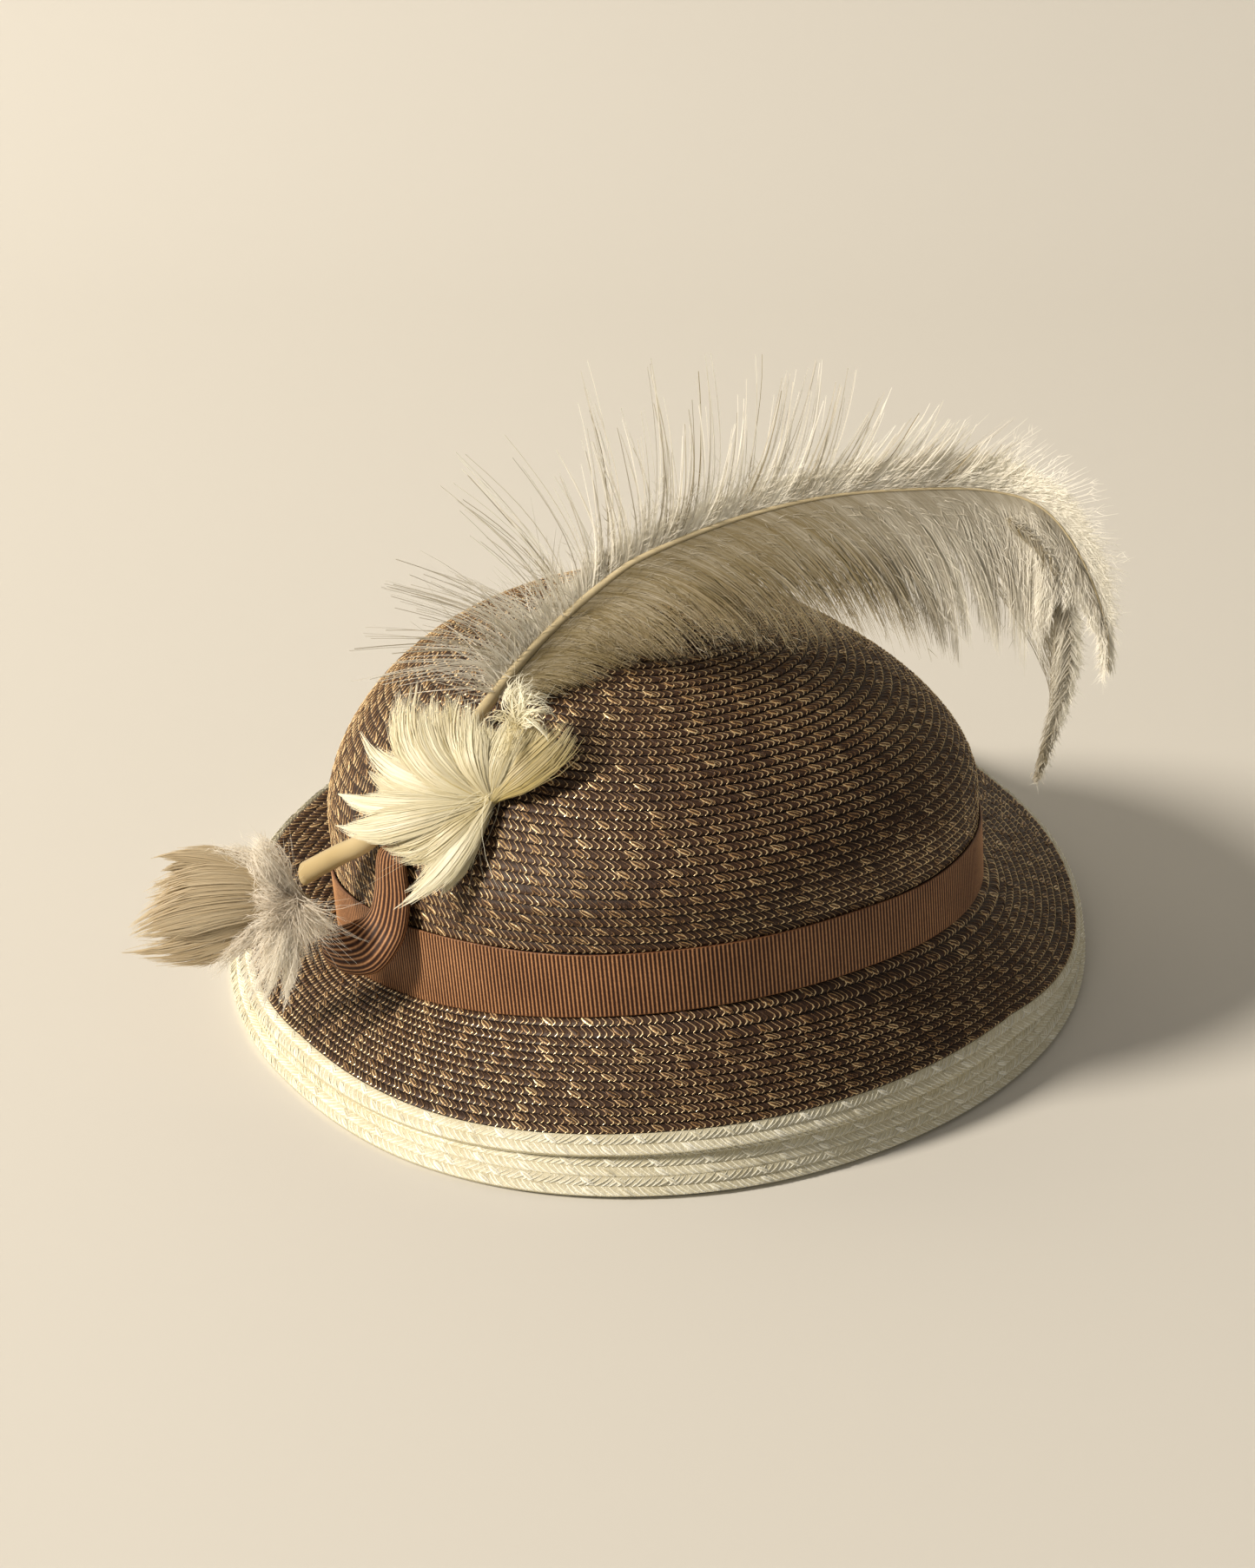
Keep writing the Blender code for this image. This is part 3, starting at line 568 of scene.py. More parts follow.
# Across, depth, up, width, thickness of the fold, from its top by the quill to its curled end
foldSections = [
    (-0.768, -0.600, 0.465, 0.0090, 0.0030), (-0.775, -0.612, 0.410, 0.0125, 0.0042),
    (-0.775, -0.620, 0.300, 0.0150, 0.0048), (-0.795, -0.640, 0.205, 0.0155, 0.0050),
    (-0.850, -0.655, 0.140, 0.0150, 0.0050), (-0.925, -0.630, 0.112, 0.0130, 0.0044),
    (-0.990, -0.580, 0.106, 0.0085, 0.0034),
]

fold = {"stations": 44, "ribs": 26, "closing": 0.14, "creaseAngle": 1.9, "creaseWidth": 0.22,
        "creaseDepth": 0.16}


def makeFold():
    # A flattened tube of ribbon whose ribs run along it; its ends close in
    rows = np.array(foldSections)
    shares = np.linspace(0, 1, fold["stations"])
    path = evenPath(np.concatenate([hatPoint(*rows[:, :3].T), rows[:, 3:]], 1), shares)
    way = unit(np.gradient(path[:, :3], axis=0))
    outward = unit((path[:, :3] - hatPlace) * np.array([1, 1, 0]))
    outward = unit(outward - (outward * way).sum(1, keepdims=True) * way)
    wideWay = np.cross(way, outward)
    sides = fold["ribs"] * 4
    angle = np.arange(sides) * 2 * math.pi / sides
    rib = 0.5 + 0.5 * np.cos(np.arange(sides) * math.pi / 2)
    past = np.clip(np.abs(shares * 2 - 1) - 1 + fold["closing"], 0, 1) / fold["closing"]
    half = path[:, 3:] * np.sqrt(np.clip(1 - past ** 2, 0.01, 1))[:, None] / 2
    crease = 1 - fold["creaseDepth"] * np.exp(-((angle - fold["creaseAngle"]) / fold["creaseWidth"]) ** 2)
    x = np.cos(angle) * crease * (1 + 0.02 * rib)
    y = np.sin(angle) * crease * (1 + 0.06 * rib)
    points = (path[:, None, :3] + wideWay[:, None] * (x * half[:, :1])[..., None]
              + outward[:, None] * (y * half[:, 1:])[..., None])
    ends = np.stack([points[0].mean(0), points[-1].mean(0)])
    # Light on the ribs and dark between them: painted highlight and painted shade, as on the band
    tone = np.append(np.tile(rib * 0.8 + 0.05, len(shares)), [0.3, 0.3])
    piece = addPiece("ribbon_fold", np.concatenate([points.reshape(-1, 3), ends]),
                     [quads(len(shares), sides, False, True), lids(len(shares), sides)[:, [0, 2, 1]]],
                     ribbonLook, tone=tone)
    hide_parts("ribbon_knot")


makeBand()
makeFold()
print("ribbon done")


def featherFinish(name, dark, light, roughness, through):
    # Silky barbs; tone runs from the shaded root to the pale edge, and some light comes through from behind
    made = Finish(name)
    share = made.clamp(made.tone() + (made.noise(60, 2) - 0.5) * 0.3)
    colour = made.node("ShaderNodeMix", {"data_type": "RGBA"},
                       {0: share, 6: (*dark, 1.0), 7: (*light, 1.0)}, 2)
    made.set(Base_Color=colour, Roughness=roughness, Specular_IOR_Level=0.4)
    behind = made.node("ShaderNodeBsdfTranslucent", None, {"Color": colour})
    front = Wire(made, made.shader.outputs[0])
    both = made.node("ShaderNodeMixShader", None, {0: through, 1: front, 2: behind})
    made.tree.links.new(both.socket, made.tree.nodes["Material Output"].inputs["Surface"])
    return made.material


plumeLook = featherFinish("ostrichBarbs", (0.30, 0.24, 0.12), (1.0, 0.98, 0.90), 0.50, 0.35)
hackleLook = featherFinish("ivoryBarbs", (0.56, 0.46, 0.19), (0.95, 0.93, 0.77), 0.40, 0.28)
downLook = featherFinish("whiteDown", (0.58, 0.47, 0.34), (1.0, 0.97, 0.88), 0.60, 0.35)
beigeLook = featherFinish("beigeBarbs", (0.46, 0.34, 0.17), (0.88, 0.78, 0.58), 0.45, 0.30)
quillLook = featherFinish("hornQuill", (0.50, 0.36, 0.14), (0.86, 0.76, 0.52), 0.30, 0.25)


def strands(path, width, facing, tone):
    # Flat strips: path is (count, stations, 3), width and tone (count, stations), and facing (count, 3) or
    # (count, stations, 3). Both edges of a strip have its tone
    count, stations = path.shape[:2]
    facing = facing[:, None] if facing.ndim == 2 else facing
    side = unit(np.cross(unit(np.gradient(path, axis=1)), facing)) * width[..., None] / 2
    faces = np.arange(count)[:, None, None] * stations * 2 + quads(stations, 2)
    return np.stack([path - side, path + side], 2).reshape(-1, 3), faces.reshape(-1, 4), np.repeat(tone, 2)


def addFeathers(name, parts, look):
    # One piece from several lots of strands
    starts = np.cumsum([0] + [len(points) for points, faces, tone in parts])
    faces = np.concatenate([faces + start for (points, faces, tone), start in zip(parts, starts)])
    return addPiece(name, np.concatenate([part[0] for part in parts]), [faces], look,
                    tone=np.concatenate([part[2] for part in parts]))


# Middle line of the plume: across, depth, up
plumeLine = [
    (-1.050, -0.400, 0.257), (-0.940, -0.470, 0.361), (-0.835, -0.536, 0.460), (-0.643, -0.571, 0.680),
    (-0.500, -0.418, 0.855), (-0.338, -0.212, 0.990), (-0.162, -0.141, 1.144), (-0.035, -0.118, 1.232),
    (0.214, -0.075, 1.331), (0.471, -0.060, 1.400), (0.709, -0.060, 1.426), (0.950, -0.070, 1.428),
    (1.108, -0.118, 1.386), (1.222, -0.165, 1.240), (1.302, -0.210, 1.026), (1.312, -0.235, 0.884),
]

# Middle line of the second lobe, which droops inside the plume's tip
lobeLine = [
    (0.983, -0.100, 1.361), (1.083, -0.140, 1.297), (1.150, -0.170, 1.207), (1.190, -0.190, 1.084),
    (1.202, -0.210, 0.959), (1.193, -0.220, 0.829), (1.161, -0.230, 0.682), (1.120, -0.240, 0.512),
]

# Share along the line, then length in mm, angle off the line and lean towards the near side
upperBand = [
    (0.29, 7, 75, -20), (0.34, 9, 62, -15), (0.42, 10, 50, -5), (0.52, 11, 45, 0), (0.62, 12, 42, 0),
    (0.68, 17, 38, 0), (0.73, 17, 38, 0), (0.78, 12, 42, 0), (0.85, 9, 46, 0), (0.90, 7, 40, 0),
    (0.94, 4, 26, 0), (1.00, 3, 14, 0),
]
lowerVane = [
    (0.27, 15, 74, 62), (0.30, 25, 71, 60), (0.34, 36, 68, 58), (0.42, 45, 66, 50), (0.50, 49, 63, 44),
    (0.60, 50, 62, 32), (0.70, 50, 65, 20), (0.78, 46, 66, 12), (0.84, 30, 56, 8), (0.89, 13, 40, 8),
    (0.93, 8, 30, 6), (1.00, 4, 16, 0),
]
lobeNear = [
    (0.0, 0.5, 20, 0), (0.25, 1.5, 30, 0), (0.4, 5.0, 34, 0), (0.55, 5.5, 32, 0), (0.8, 3.5, 26, 0),
    (1.0, 1.5, 15, 0),
]
lobeFar = [
    (0.0, 3.0, 30, 0), (0.3, 8.0, 28, 0), (0.5, 10.0, 26, 0), (0.7, 7.0, 22, 0), (0.9, 3.0, 15, 0),
    (1.0, 1.5, 10, 0),
]
looseVane = [(0.27, 20, 120, -15), (0.34, 22, 95, -15), (0.40, 18, 75, -5)]

# Long wisps of the upper side: share along, length in mm, angle off the shaft, lean, strands
plumeWisps = [
    (0.290, 40, 128, -25, 9), (0.298, 44, 122, -20, 9), (0.307, 45, 116, -24, 9), (0.315, 44, 106, -14, 10),
    (0.322, 47, 102, -22, 10), (0.333, 42, 100, -12, 10), (0.345, 30, 94, -18, 8), (0.366, 45, 85, -10, 12),
    (0.376, 48, 80, -14, 8), (0.399, 49, 73, -4, 3), (0.414, 34, 66, -8, 9), (0.424, 51, 57, -2, 13),
    (0.440, 34, 62, 4, 9), (0.462, 36, 68, -4, 8), (0.474, 46, 65, 0, 15), (0.490, 30, 60, 4, 8),
    (0.511, 44, 65, 0, 11), (0.528, 27, 56, 4, 8), (0.545, 40, 62, -2, 9), (0.561, 39, 56, 2, 12),
    (0.585, 37, 58, 0, 14), (0.610, 35, 59, 3, 14), (0.636, 33, 52, 0, 12), (0.655, 23, 48, 3, 8),
    (0.678, 28, 52, 0, 14), (0.700, 25, 50, 3, 12), (0.722, 22, 52, 0, 12), (0.746, 19, 52, 3, 12),
    (0.770, 16, 55, 0, 12), (0.793, 13, 58, 0, 12),
]
plume = {"shaftShares": [0, 0.10, 0.28, 0.45, 0.55, 0.68, 1.0], "shaftSides": 14, "hollowRings": 6,
         "shaftRadii": [0.0030, 0.0027, 0.0016, 0.0010, 0.0007, 0.0004, 0.0002], "strand": 0.00036,
         "vaneStart": 0.28, "band": 3000, "rimFluff": 2600, "loose": 150, "lower": 5000, "lowerLong": 0.725,
         "hanging": 44, "fluff": 5000, "lobe": 1100, "lobeFluff": 1000, "joining": 260}


def lineFrames(table, shares):
    # Place, way, up and near-side directions along a middle line
    fine = np.linspace(0, 1, 400)
    line = evenPath(hatPoint(*np.array(table).T), fine)
    way = unit(np.gradient(line, axis=0))
    near = np.array([0.0, -1.0, 0.0])
    thick = unit(near - (way @ near)[:, None] * way)
    up = np.cross(thick, way)

    def read(grid):
        return np.stack([np.interp(shares, fine, column) for column in grid.T], -1)

    return read(line), unit(read(way)), unit(read(up)), unit(read(thick))


def makeShaft():
    # A round shaft along the middle line, cut slantwise and hollow at the quill's end
    shares, hollowRings = np.linspace(0, 1, 150), plume["hollowRings"]
    middle, way, up, thick = lineFrames(plumeLine, shares)
    sides = plume["shaftSides"]
    angle = np.arange(sides) * 2 * math.pi / sides
    radius = np.interp(shares, plume["shaftShares"], plume["shaftRadii"])[:, None, None]
    around = (np.cos(angle)[:, None] * up[:, None] + np.sin(angle)[:, None] * thick[:, None]) * radius
    points = middle[:, None] + around
    hollow = middle[:hollowRings, None] + around[:hollowRings] * 0.62 + way[0] * 0.0004
    slant = way[0] * (np.cos(angle) * radius[0, 0] * 0.5)[:, None]
    points[0] += slant
    hollow[0] += slant
    grid = np.concatenate([hollow[::-1], points])
    tips = np.stack([grid[0].mean(0), grid[-1].mean(0)])
    along = np.interp(shares, [0, 0.3, 0.6, 1], [0.25, 0.65, 0.75, 0.7])
    # The inside of the hollow and its lid are dark: painted shade
    tone = np.append(np.repeat(np.concatenate([np.full(hollowRings, 0.1), along]), sides), [0.1, 0.7])
    piece = addPiece("plume_shaft", np.concatenate([grid.reshape(-1, 3), tips]),
                     [quads(len(grid), sides, False, True)[:, ::-1], lids(len(grid), sides)],
                     quillLook, tone=tone)
    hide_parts("ostrich_plume")


def evenly(count, rng):
    # Shares from 0 to 1, one at random in each even step
    return (np.arange(count) + rng.random(count)) / count


def scattered(facing, amount, rng):
    return facing + rng.normal(0, amount, facing.shape)


def barbPaths(root, reach, start, stations, bend=0.5):
    # Quadratic curves: each leaves along its start direction and bends to root + reach
    knee = root + unit(start) * np.linalg.norm(reach, axis=1, keepdims=True) * bend
    t = np.linspace(0, 1, stations)[:, None]
    return root[:, None] * (1 - t) ** 2 + knee[:, None] * 2 * t * (1 - t) + (root + reach)[:, None] * t ** 2


def vane(line, table, side, share, rng, messy, spread):
    # Roots and reaches of barbs on one side of a line, with their leans; lengths in mm and spread in degrees
    root, way, up, thick = lineFrames(line, share)
    places, *columns = np.array(table).T
    length, angle, lean = (np.interp(share, places, column)[:, None] for column in columns)
    angle = np.radians(angle + rng.normal(0, spread, (len(share), 1)))
    lean = np.radians(lean)
    out = side * up * np.cos(lean) + thick * np.sin(lean)
    reach = (way * np.cos(angle) + out * np.sin(angle)) * length * 0.001
    reach = reach + rng.normal(0, 1, reach.shape) * messy * length * 0.001
    return root, way, thick, reach, way * 0.82 + out * 0.58


def barbWidths(path, low, high, rng, tip=0.15):
    # Strips a little narrower at the foot and narrowest at the tip
    shape = np.interp(np.linspace(0, 1, path.shape[1]), [0, 0.15, 0.6, 1], [0.9, 1, 0.7, tip])
    return plume["strand"] * rng.uniform(low, high, (len(path), 1)) * shape


def fluffOn(path, facing, tone, count, length, rng, width=0.00016):
    # Short barbules that leave the barbs at about 35 degrees, three stations each
    pick = rng.integers(0, len(path), count)
    at = rng.uniform(0.12, 0.97, count) * (path.shape[1] - 1)
    low = np.floor(at).astype(int)
    step = path[pick, np.minimum(low + 1, path.shape[1] - 1)] - path[pick, low]
    place = path[pick, low] + step * (at - low)[:, None]
    way = unit(step)
    side = unit(np.cross(way, facing[pick])) * np.where(rng.random((count, 1)) < 0.5, -1, 1)
    size = length * rng.uniform(0.5, 1.2, (count, 1, 1))
    out = unit(way * 0.8 + side * rng.uniform(0.35, 0.9, (count, 1)) + rng.normal(0, 0.25, (count, 3)))
    t = np.linspace(0, 1, 3)[:, None]
    curve = place[:, None] + (out[:, None] * t + way[:, None] * 0.35 * t ** 2) * size
    widths = width * np.array([1.0, 0.8, 0.2]) * np.ones((count, 1))
    shade = (tone[pick, low] + rng.uniform(0.0, 0.3, count))[:, None] * np.ones((1, 3))
    return strands(curve, widths, facing[pick], shade)


towardLight = np.array([-0.75, 0.0, 0.65])


def lit(facing, amount):
    # Strips turned a little up and to the left take the light as round barbs do
    return unit(facing + towardLight * np.asarray(amount)[..., None])


def makeUpperBarbs():
    rng = np.random.default_rng(5)
    # A dense even band along the shaft, paler towards the plume's end
    count, start = plume["band"], plume["vaneStart"]
    share = start + (0.995 - start) * evenly(count, rng)
    root, way, thick, reach, start = vane(plumeLine, upperBand, 1, share, rng, 0.016, 1.4)
    long = rng.random(count) < 0.12
    reach = reach * np.where(long, rng.uniform(1.2, 1.9, count), rng.uniform(0.8, 1.05, count))[:, None]
    path = barbPaths(root, reach, start, 6, 0.4)
    turned = np.interp(share, [0.3, 0.66, 0.72, 0.78], [0.8, 0.8, 0.4, 0.9])
    facing = lit(scattered(thick, 0.25, rng), turned)
    pale = np.interp(share, [0.3, 0.72, 0.77, 0.92, 0.97], [0.25, 0.10, 1.0, 1.0, 0.40])[:, None]
    # The tone is raised along the middle of the band: painted light against the shade the wisps cast there
    tone = np.interp(share, [0.3, 0.42, 0.62, 0.72], [0.45, 0.85, 0.85, 0.62])[:, None]
    tone = tone + pale * np.linspace(0, 1, 6) ** 0.9 + rng.normal(0, 0.10, (count, 1))
    parts = [strands(path, barbWidths(path, 0.6, 1.1, rng), facing, tone)]
    white = (share > 0.74) & (share < 0.95)
    parts.append(fluffOn(path[white], facing[white], tone[white] + 0.35, plume["rimFluff"], 0.0024, rng))
    # Long wisps: strands that start apart, come together and part again at their tips
    for along, length, angle, lean, number in plumeWisps:
        apart = np.linspace(-0.5, 0.5, number)
        share = np.clip(along + apart * 0.0022 * number + rng.normal(0, 0.001, number), 0.27, 0.99)
        length = length * np.interp(along, [0.34, 0.42, 0.60, 0.70], [1.0, 1.13, 1.13, 1.0])
        table = [(0, length, angle, lean), (1, length, angle, lean)]
        root, way, thick, reach, start = vane(plumeLine, table, 1, share, rng, 0.012, 1.2)
        meet = lineFrames(plumeLine, np.array([along]))[0] + reach.mean(0)
        fan = way * (apart * 0.00034 * number)[:, None] + rng.normal(0, 0.0005, (number, 3))
        reach = (meet - root) * rng.uniform(0.62, 1.04, (number, 1)) + fan
        t = np.linspace(0, 1, 12)
        wave = rng.normal(0, 0.00035, (number, 1)) * np.sin(t * math.pi * 2 + rng.uniform(0, 6, (number, 1)))
        path = barbPaths(root, reach, start, 12, 0.30) + way[:, None] * wave[..., None]
        facing = lit(scattered(thick, 0.30, rng), 0.7)
        tone = 0.68 + rng.normal(0, 0.30, (number, 1)) + 0.15 * t
        parts.append(strands(path, barbWidths(path, 0.8, 1.4, rng, 0.45), facing, tone))
        parts.append(fluffOn(path[:, :7], facing, tone, number * 14, 0.0022, rng, 0.00013))
    # Loose strands that cross each other near the shaft's foot
    number = plume["loose"]
    share = rng.uniform(0.27, 0.40, number)
    root, way, thick, reach, start = vane(plumeLine, looseVane, 1, share, rng, 0.22, 22)
    reach = reach * rng.uniform(0.5, 1.3, (number, 1))
    path = barbPaths(root, reach, scattered(unit(reach), 0.4, rng), 8)
    facing = unit(scattered(thick, 0.4, rng))
    tone = 0.75 + rng.normal(0, 0.2, (number, 1)) * np.ones(8)
    parts.append(strands(path, barbWidths(path, 0.5, 1.1, rng), facing, tone))
    addFeathers("plume_upper_barbs", parts, plumeLook)


def makeLowerBarbs():
    rng = np.random.default_rng(6)
    count, wisps, long = plume["lower"], plume["hanging"], plume["lowerLong"]
    share = plume["vaneStart"] - 0.01 + long * evenly(count, rng)
    root, way, thick, reach, start = vane(plumeLine, lowerVane, -1, share, rng, 0.018, 2.0)
    # Towards the plume's end the tips gather in hanging wisps, with gaps between them
    centres = plume["vaneStart"] + long * (np.arange(wisps) + rng.uniform(0.2, 0.8, wisps)) / wisps
    nearest = np.abs(share[:, None] - centres).argmin(1)
    order = np.argsort(share)
    tips = (root + reach)[order]
    meet = np.stack([np.interp(centres, share[order], column) for column in tips.T], -1)[nearest]
    pull = np.interp(share, [0.27, 0.58, 0.68, 0.84, 0.9], [0.05, 0.20, 0.92, 0.88, 0.2])
    pull = pull * rng.uniform(0.8, 1.05, count)
    part = np.where(rng.random(count) < 0.45, rng.uniform(0.35, 0.85, count), rng.uniform(0.8, 1.06, count))
    # Over the crown the barbs end at different lengths, which makes a soft hem
    soft = np.interp(share, [0.30, 0.36, 0.56, 0.66], [0.0, 1.0, 1.0, 0.0])
    part = part * (1 - soft) + soft * rng.uniform(0.40, 1.0, count)
    wispPart = np.where(share > 0.6, rng.uniform(0.90, 1.10, wisps)[nearest], 1.0)
    gathered = reach + (meet - root - reach) * (pull * part ** 2)[:, None]
    path = barbPaths(root, gathered * (part * wispPart)[:, None], start, 9)
    t = np.linspace(0, 1, 9)
    facing = lit(scattered(thick, 0.22, rng), np.interp(share, [0.5, 0.7], [0.0, 0.8]))
    streak = 0.05 * np.sin(share * 210) + 0.04 * np.sin(share * 487 + 1.0)
    # Over the crown the vane is darker and its tips darker still: painted shade, also standing in for the
    # dark crown seen through the barbs
    pale = np.interp(share, [0.3, 0.6, 0.7, 1.0], [-0.20, -0.10, 0.55, 0.65])[:, None]
    base = np.interp(share, [0.55, 0.70, 1.0], [0.13, 0.34, 0.40])[:, None]
    tone = base + pale * t + (streak + rng.normal(0, 0.07, count))[:, None]
    thin = 1 - soft[:, None] * 0.45 * np.clip(t - 0.25, 0, 1) / 0.75
    parts = [strands(path, barbWidths(path, 0.7, 1.25, rng, 0.12) * thin, facing, tone),
             fluffOn(path, facing, tone, plume["fluff"], 0.0030, rng)]
    # The second lobe: its own barbs, white and downy on the outer side
    number = plume["lobe"]
    for table, side, base, turned in ((lobeNear, 1, 0.75, 0.7), (lobeFar, -1, 0.40, 0.3)):
        share = 0.03 + 0.965 * evenly(number, rng)
        root, way, thick, reach, start = vane(lobeLine, table, side, share, rng, 0.03, 2.5)
        reach = reach * rng.uniform(0.7, 1.1, (number, 1))
        path = barbPaths(scattered(root, 0.0004, rng), reach, start, 6, 0.45)
        facing = lit(scattered(thick, 0.3, rng), turned)
        fade = np.interp(share, [0, 0.3, 0.45, 0.72, 0.85], [0.0, 0.1, 1.0, 1.0, 0.1])[:, None]
        tone = 0.25 + (base - 0.25) * fade + 0.5 * fade * np.linspace(0, 1, 6)
        tone = tone + rng.normal(0, 0.1, (number, 1))
        parts.append(strands(path, barbWidths(path, 0.6, 1.1, rng), facing, tone))
        if side > 0:
            parts.append(fluffOn(path, facing, tone + 0.2, plume["lobeFluff"], 0.0020, rng, 0.00015))
    # Long strands from the shaft that run into the lobe
    number = plume["joining"]
    share = rng.uniform(0.70, 0.86, number)
    root, way, up, thick = lineFrames(plumeLine, share)
    join = lineFrames(lobeLine, np.clip((share - 0.70) * 1.5 + rng.uniform(0.25, 0.75, number), 0, 1))[0]
    path = barbPaths(root, scattered(join - root, 0.0007, rng), way * 0.75 - up * 0.66, 10)
    tone = 0.3 + 0.25 * np.linspace(0, 1, 10) + rng.normal(0, 0.12, (number, 1))
    widths = barbWidths(path, 0.6, 1.2, rng, 0.3)
    parts.append(strands(path, widths, unit(scattered(thick, 0.3, rng)), tone))
    addFeathers("plume_lower_barbs", parts, plumeLook)


makeShaft()
makeUpperBarbs()
makeLowerBarbs()
print("plume done")

# Each feather bends through two guide points to its tip, x and y in mm right and up of the cluster's foot as
# the photo's side sees it; then half its width, how far it arches off its plane, its bluntness and its tone
hackles = [
    (-12.8, 2.7, -23.7, 9.1, -24.1, 26.0, 3.4, 1.0, 0.6, 0.62),
    (-12.3, 3.6, -20.5, 12.8, -19.1, 27.8, 5.4, 4.5, 0.9, 0.74),
    (-10.0, 5.5, -14.1, 14.6, -13.7, 27.3, 4.6, 2.5, 0.8, 0.62),
    (-5.5, 7.1, -9.1, 15.9, -8.0, 25.5, 4.0, 4.0, 0.7, 0.70),
    (-2.7, 6.8, -4.1, 12.8, -5.5, 21.4, 3.4, 5.0, 0.5, 0.76),
    (-0.9, 6.8, -0.9, 12.8, -1.4, 20.1, 3.0, 2.5, 0.5, 0.60),
    (0.9, 6.4, 3.6, 10.9, 4.6, 21.4, 3.0, 4.5, 0.4, 0.80),
    (1.8, 5.5, 6.4, 11.8, 7.7, 22.3, 3.2, 3.0, 0.4, 0.70),
    (3.6, 5.0, 9.1, 10.9, 12.8, 20.5, 4.2, 2.0, 0.6, 0.42),
    (5.0, 4.6, 13.7, 9.6, 19.0, 21.3, 4.6, 3.5, 0.6, 0.30),
    (-13.7, 2.7, -26.0, 5.5, -32.6, 15.9, 3.4, 3.5, 0.1, 0.86),
    (-14.6, 0.0, -24.6, 1.8, -30.5, 7.3, 3.6, 1.0, 0.2, 0.66),
    (-14.6, -1.4, -29.2, -3.6, -39.0, 2.0, 3.2, 4.0, 0.0, 0.88),
    (-13.7, -4.6, -28.2, -9.1, -38.0, -6.4, 3.8, 5.0, 0.0, 0.84),
    (-10.0, -6.3, -20.0, -11.8, -26.9, -10.9, 4.8, 3.0, 0.3, 0.56),
    (-6.4, -7.3, -12.8, -13.7, -21.9, -15.0, 4.2, 4.5, 0.3, 0.60),
    (-4.6, -9.1, -9.1, -16.9, -20.0, -21.3, 3.4, 3.5, 0.1, 0.72),
    (-4.4, -10.0, -9.0, -19.5, -23.7, -26.4, 2.5, 3.0, 0.0, 0.84),
    (-4.2, -10.0, -8.0, -17.5, -13.0, -23.0, 1.9, 2.0, 0.1, 0.66),
]
hackleFan = {"seat": (-0.473, -0.727, 0.682), "normal": (-0.385, -0.71, 0.59), "strands": 230,
             "width": 0.00036, "broad": 1.35, "layer": 0.0006, "frizz": 0.0}

bodyFeathers = [
    (-10.6, -5.2, -29.9, -14.9, -45.8, -13.7, 5.2, 1.5, 0.1, 0.56),
    (-12.5, 0.5, -33.2, 1.0, -46.6, -10.0, 6.6, 5.0, 0.2, 0.62),
    (-12.5, 4.9, -26.0, 5.8, -40.4, 0.5, 5.0, 3.0, 0.4, 0.60),
    (-13.5, 6.3, -25.0, 7.3, -38.0, 3.9, 3.6, 1.5, 0.4, 0.52),
    (-12.5, 8.2, -26.0, 12.5, -38.7, 10.1, 3.0, 2.5, 0.0, 0.54),
    (-12.5, 7.3, -27.9, 10.6, -37.1, 6.8, 2.6, 1.0, 0.0, 0.50),
    (-10.6, -1.4, -25.0, -5.2, -43.3, -9.1, 5.6, 3.5, 0.2, 0.54),
]
bodyFan = {"seat": (-1.015, -0.624, 0.290), "normal": (0.0, -0.89, 0.45), "strands": 330,
           "width": 0.00044, "broad": 1.15, "layer": 0.0006, "frizz": 0.0}

# The short white down round the foot of the body feathers
downFeathers = [
    (-5.8, 9.7, -13.0, 14.0, -23.1, 13.8, 2.6, 2.0, 0.2, 0.80),
    (-3.9, 9.2, -8.2, 14.0, -12.1, 17.4, 2.8, 3.0, 0.6, 0.85),
    (-3.0, 6.0, -7.0, 11.0, -8.5, 15.0, 2.8, 4.0, 0.7, 0.85),
    (-2.0, -7.2, -5.8, -15.8, -11.8, -25.7, 1.6, 3.0, 0.0, 0.90),
    (-1.5, -8.0, -4.5, -17.0, -8.9, -26.9, 1.4, 4.0, 0.0, 0.95),
    (-0.5, -8.0, -1.5, -18.0, -4.1, -27.1, 1.4, 3.0, 0.0, 0.92),
    (0.0, -8.0, -0.5, -16.0, -2.9, -24.5, 1.6, 2.0, 0.0, 0.86),
    (-3.0, -5.0, -8.0, -11.0, -11.1, -18.2, 2.6, 2.5, 0.5, 0.84),
    (-6.0, -4.0, -14.0, -11.0, -20.2, -17.0, 2.2, 1.0, 0.2, 0.78),
    (-1.0, -5.0, -3.0, -10.0, -5.5, -17.0, 3.0, 3.5, 0.4, 0.80),
    (3.0, -2.0, 8.0, -5.0, 10.5, -8.1, 3.0, 2.0, 0.6, 0.76),
    (2.0, -4.0, 4.0, -7.0, 5.2, -10.1, 2.8, 3.0, 0.5, 0.78),
    (-4.0, 1.0, -9.0, 2.0, -14.0, 3.0, 3.0, 5.0, 0.5, 0.66),
    (-3.0, -2.0, -7.0, -3.5, -12.0, -6.0, 3.0, 5.0, 0.5, 0.66),
]
downFan = {"strands": 80, "width": 0.00022, "broad": 1.0, "frizz": 0.22, "fluff": 380}

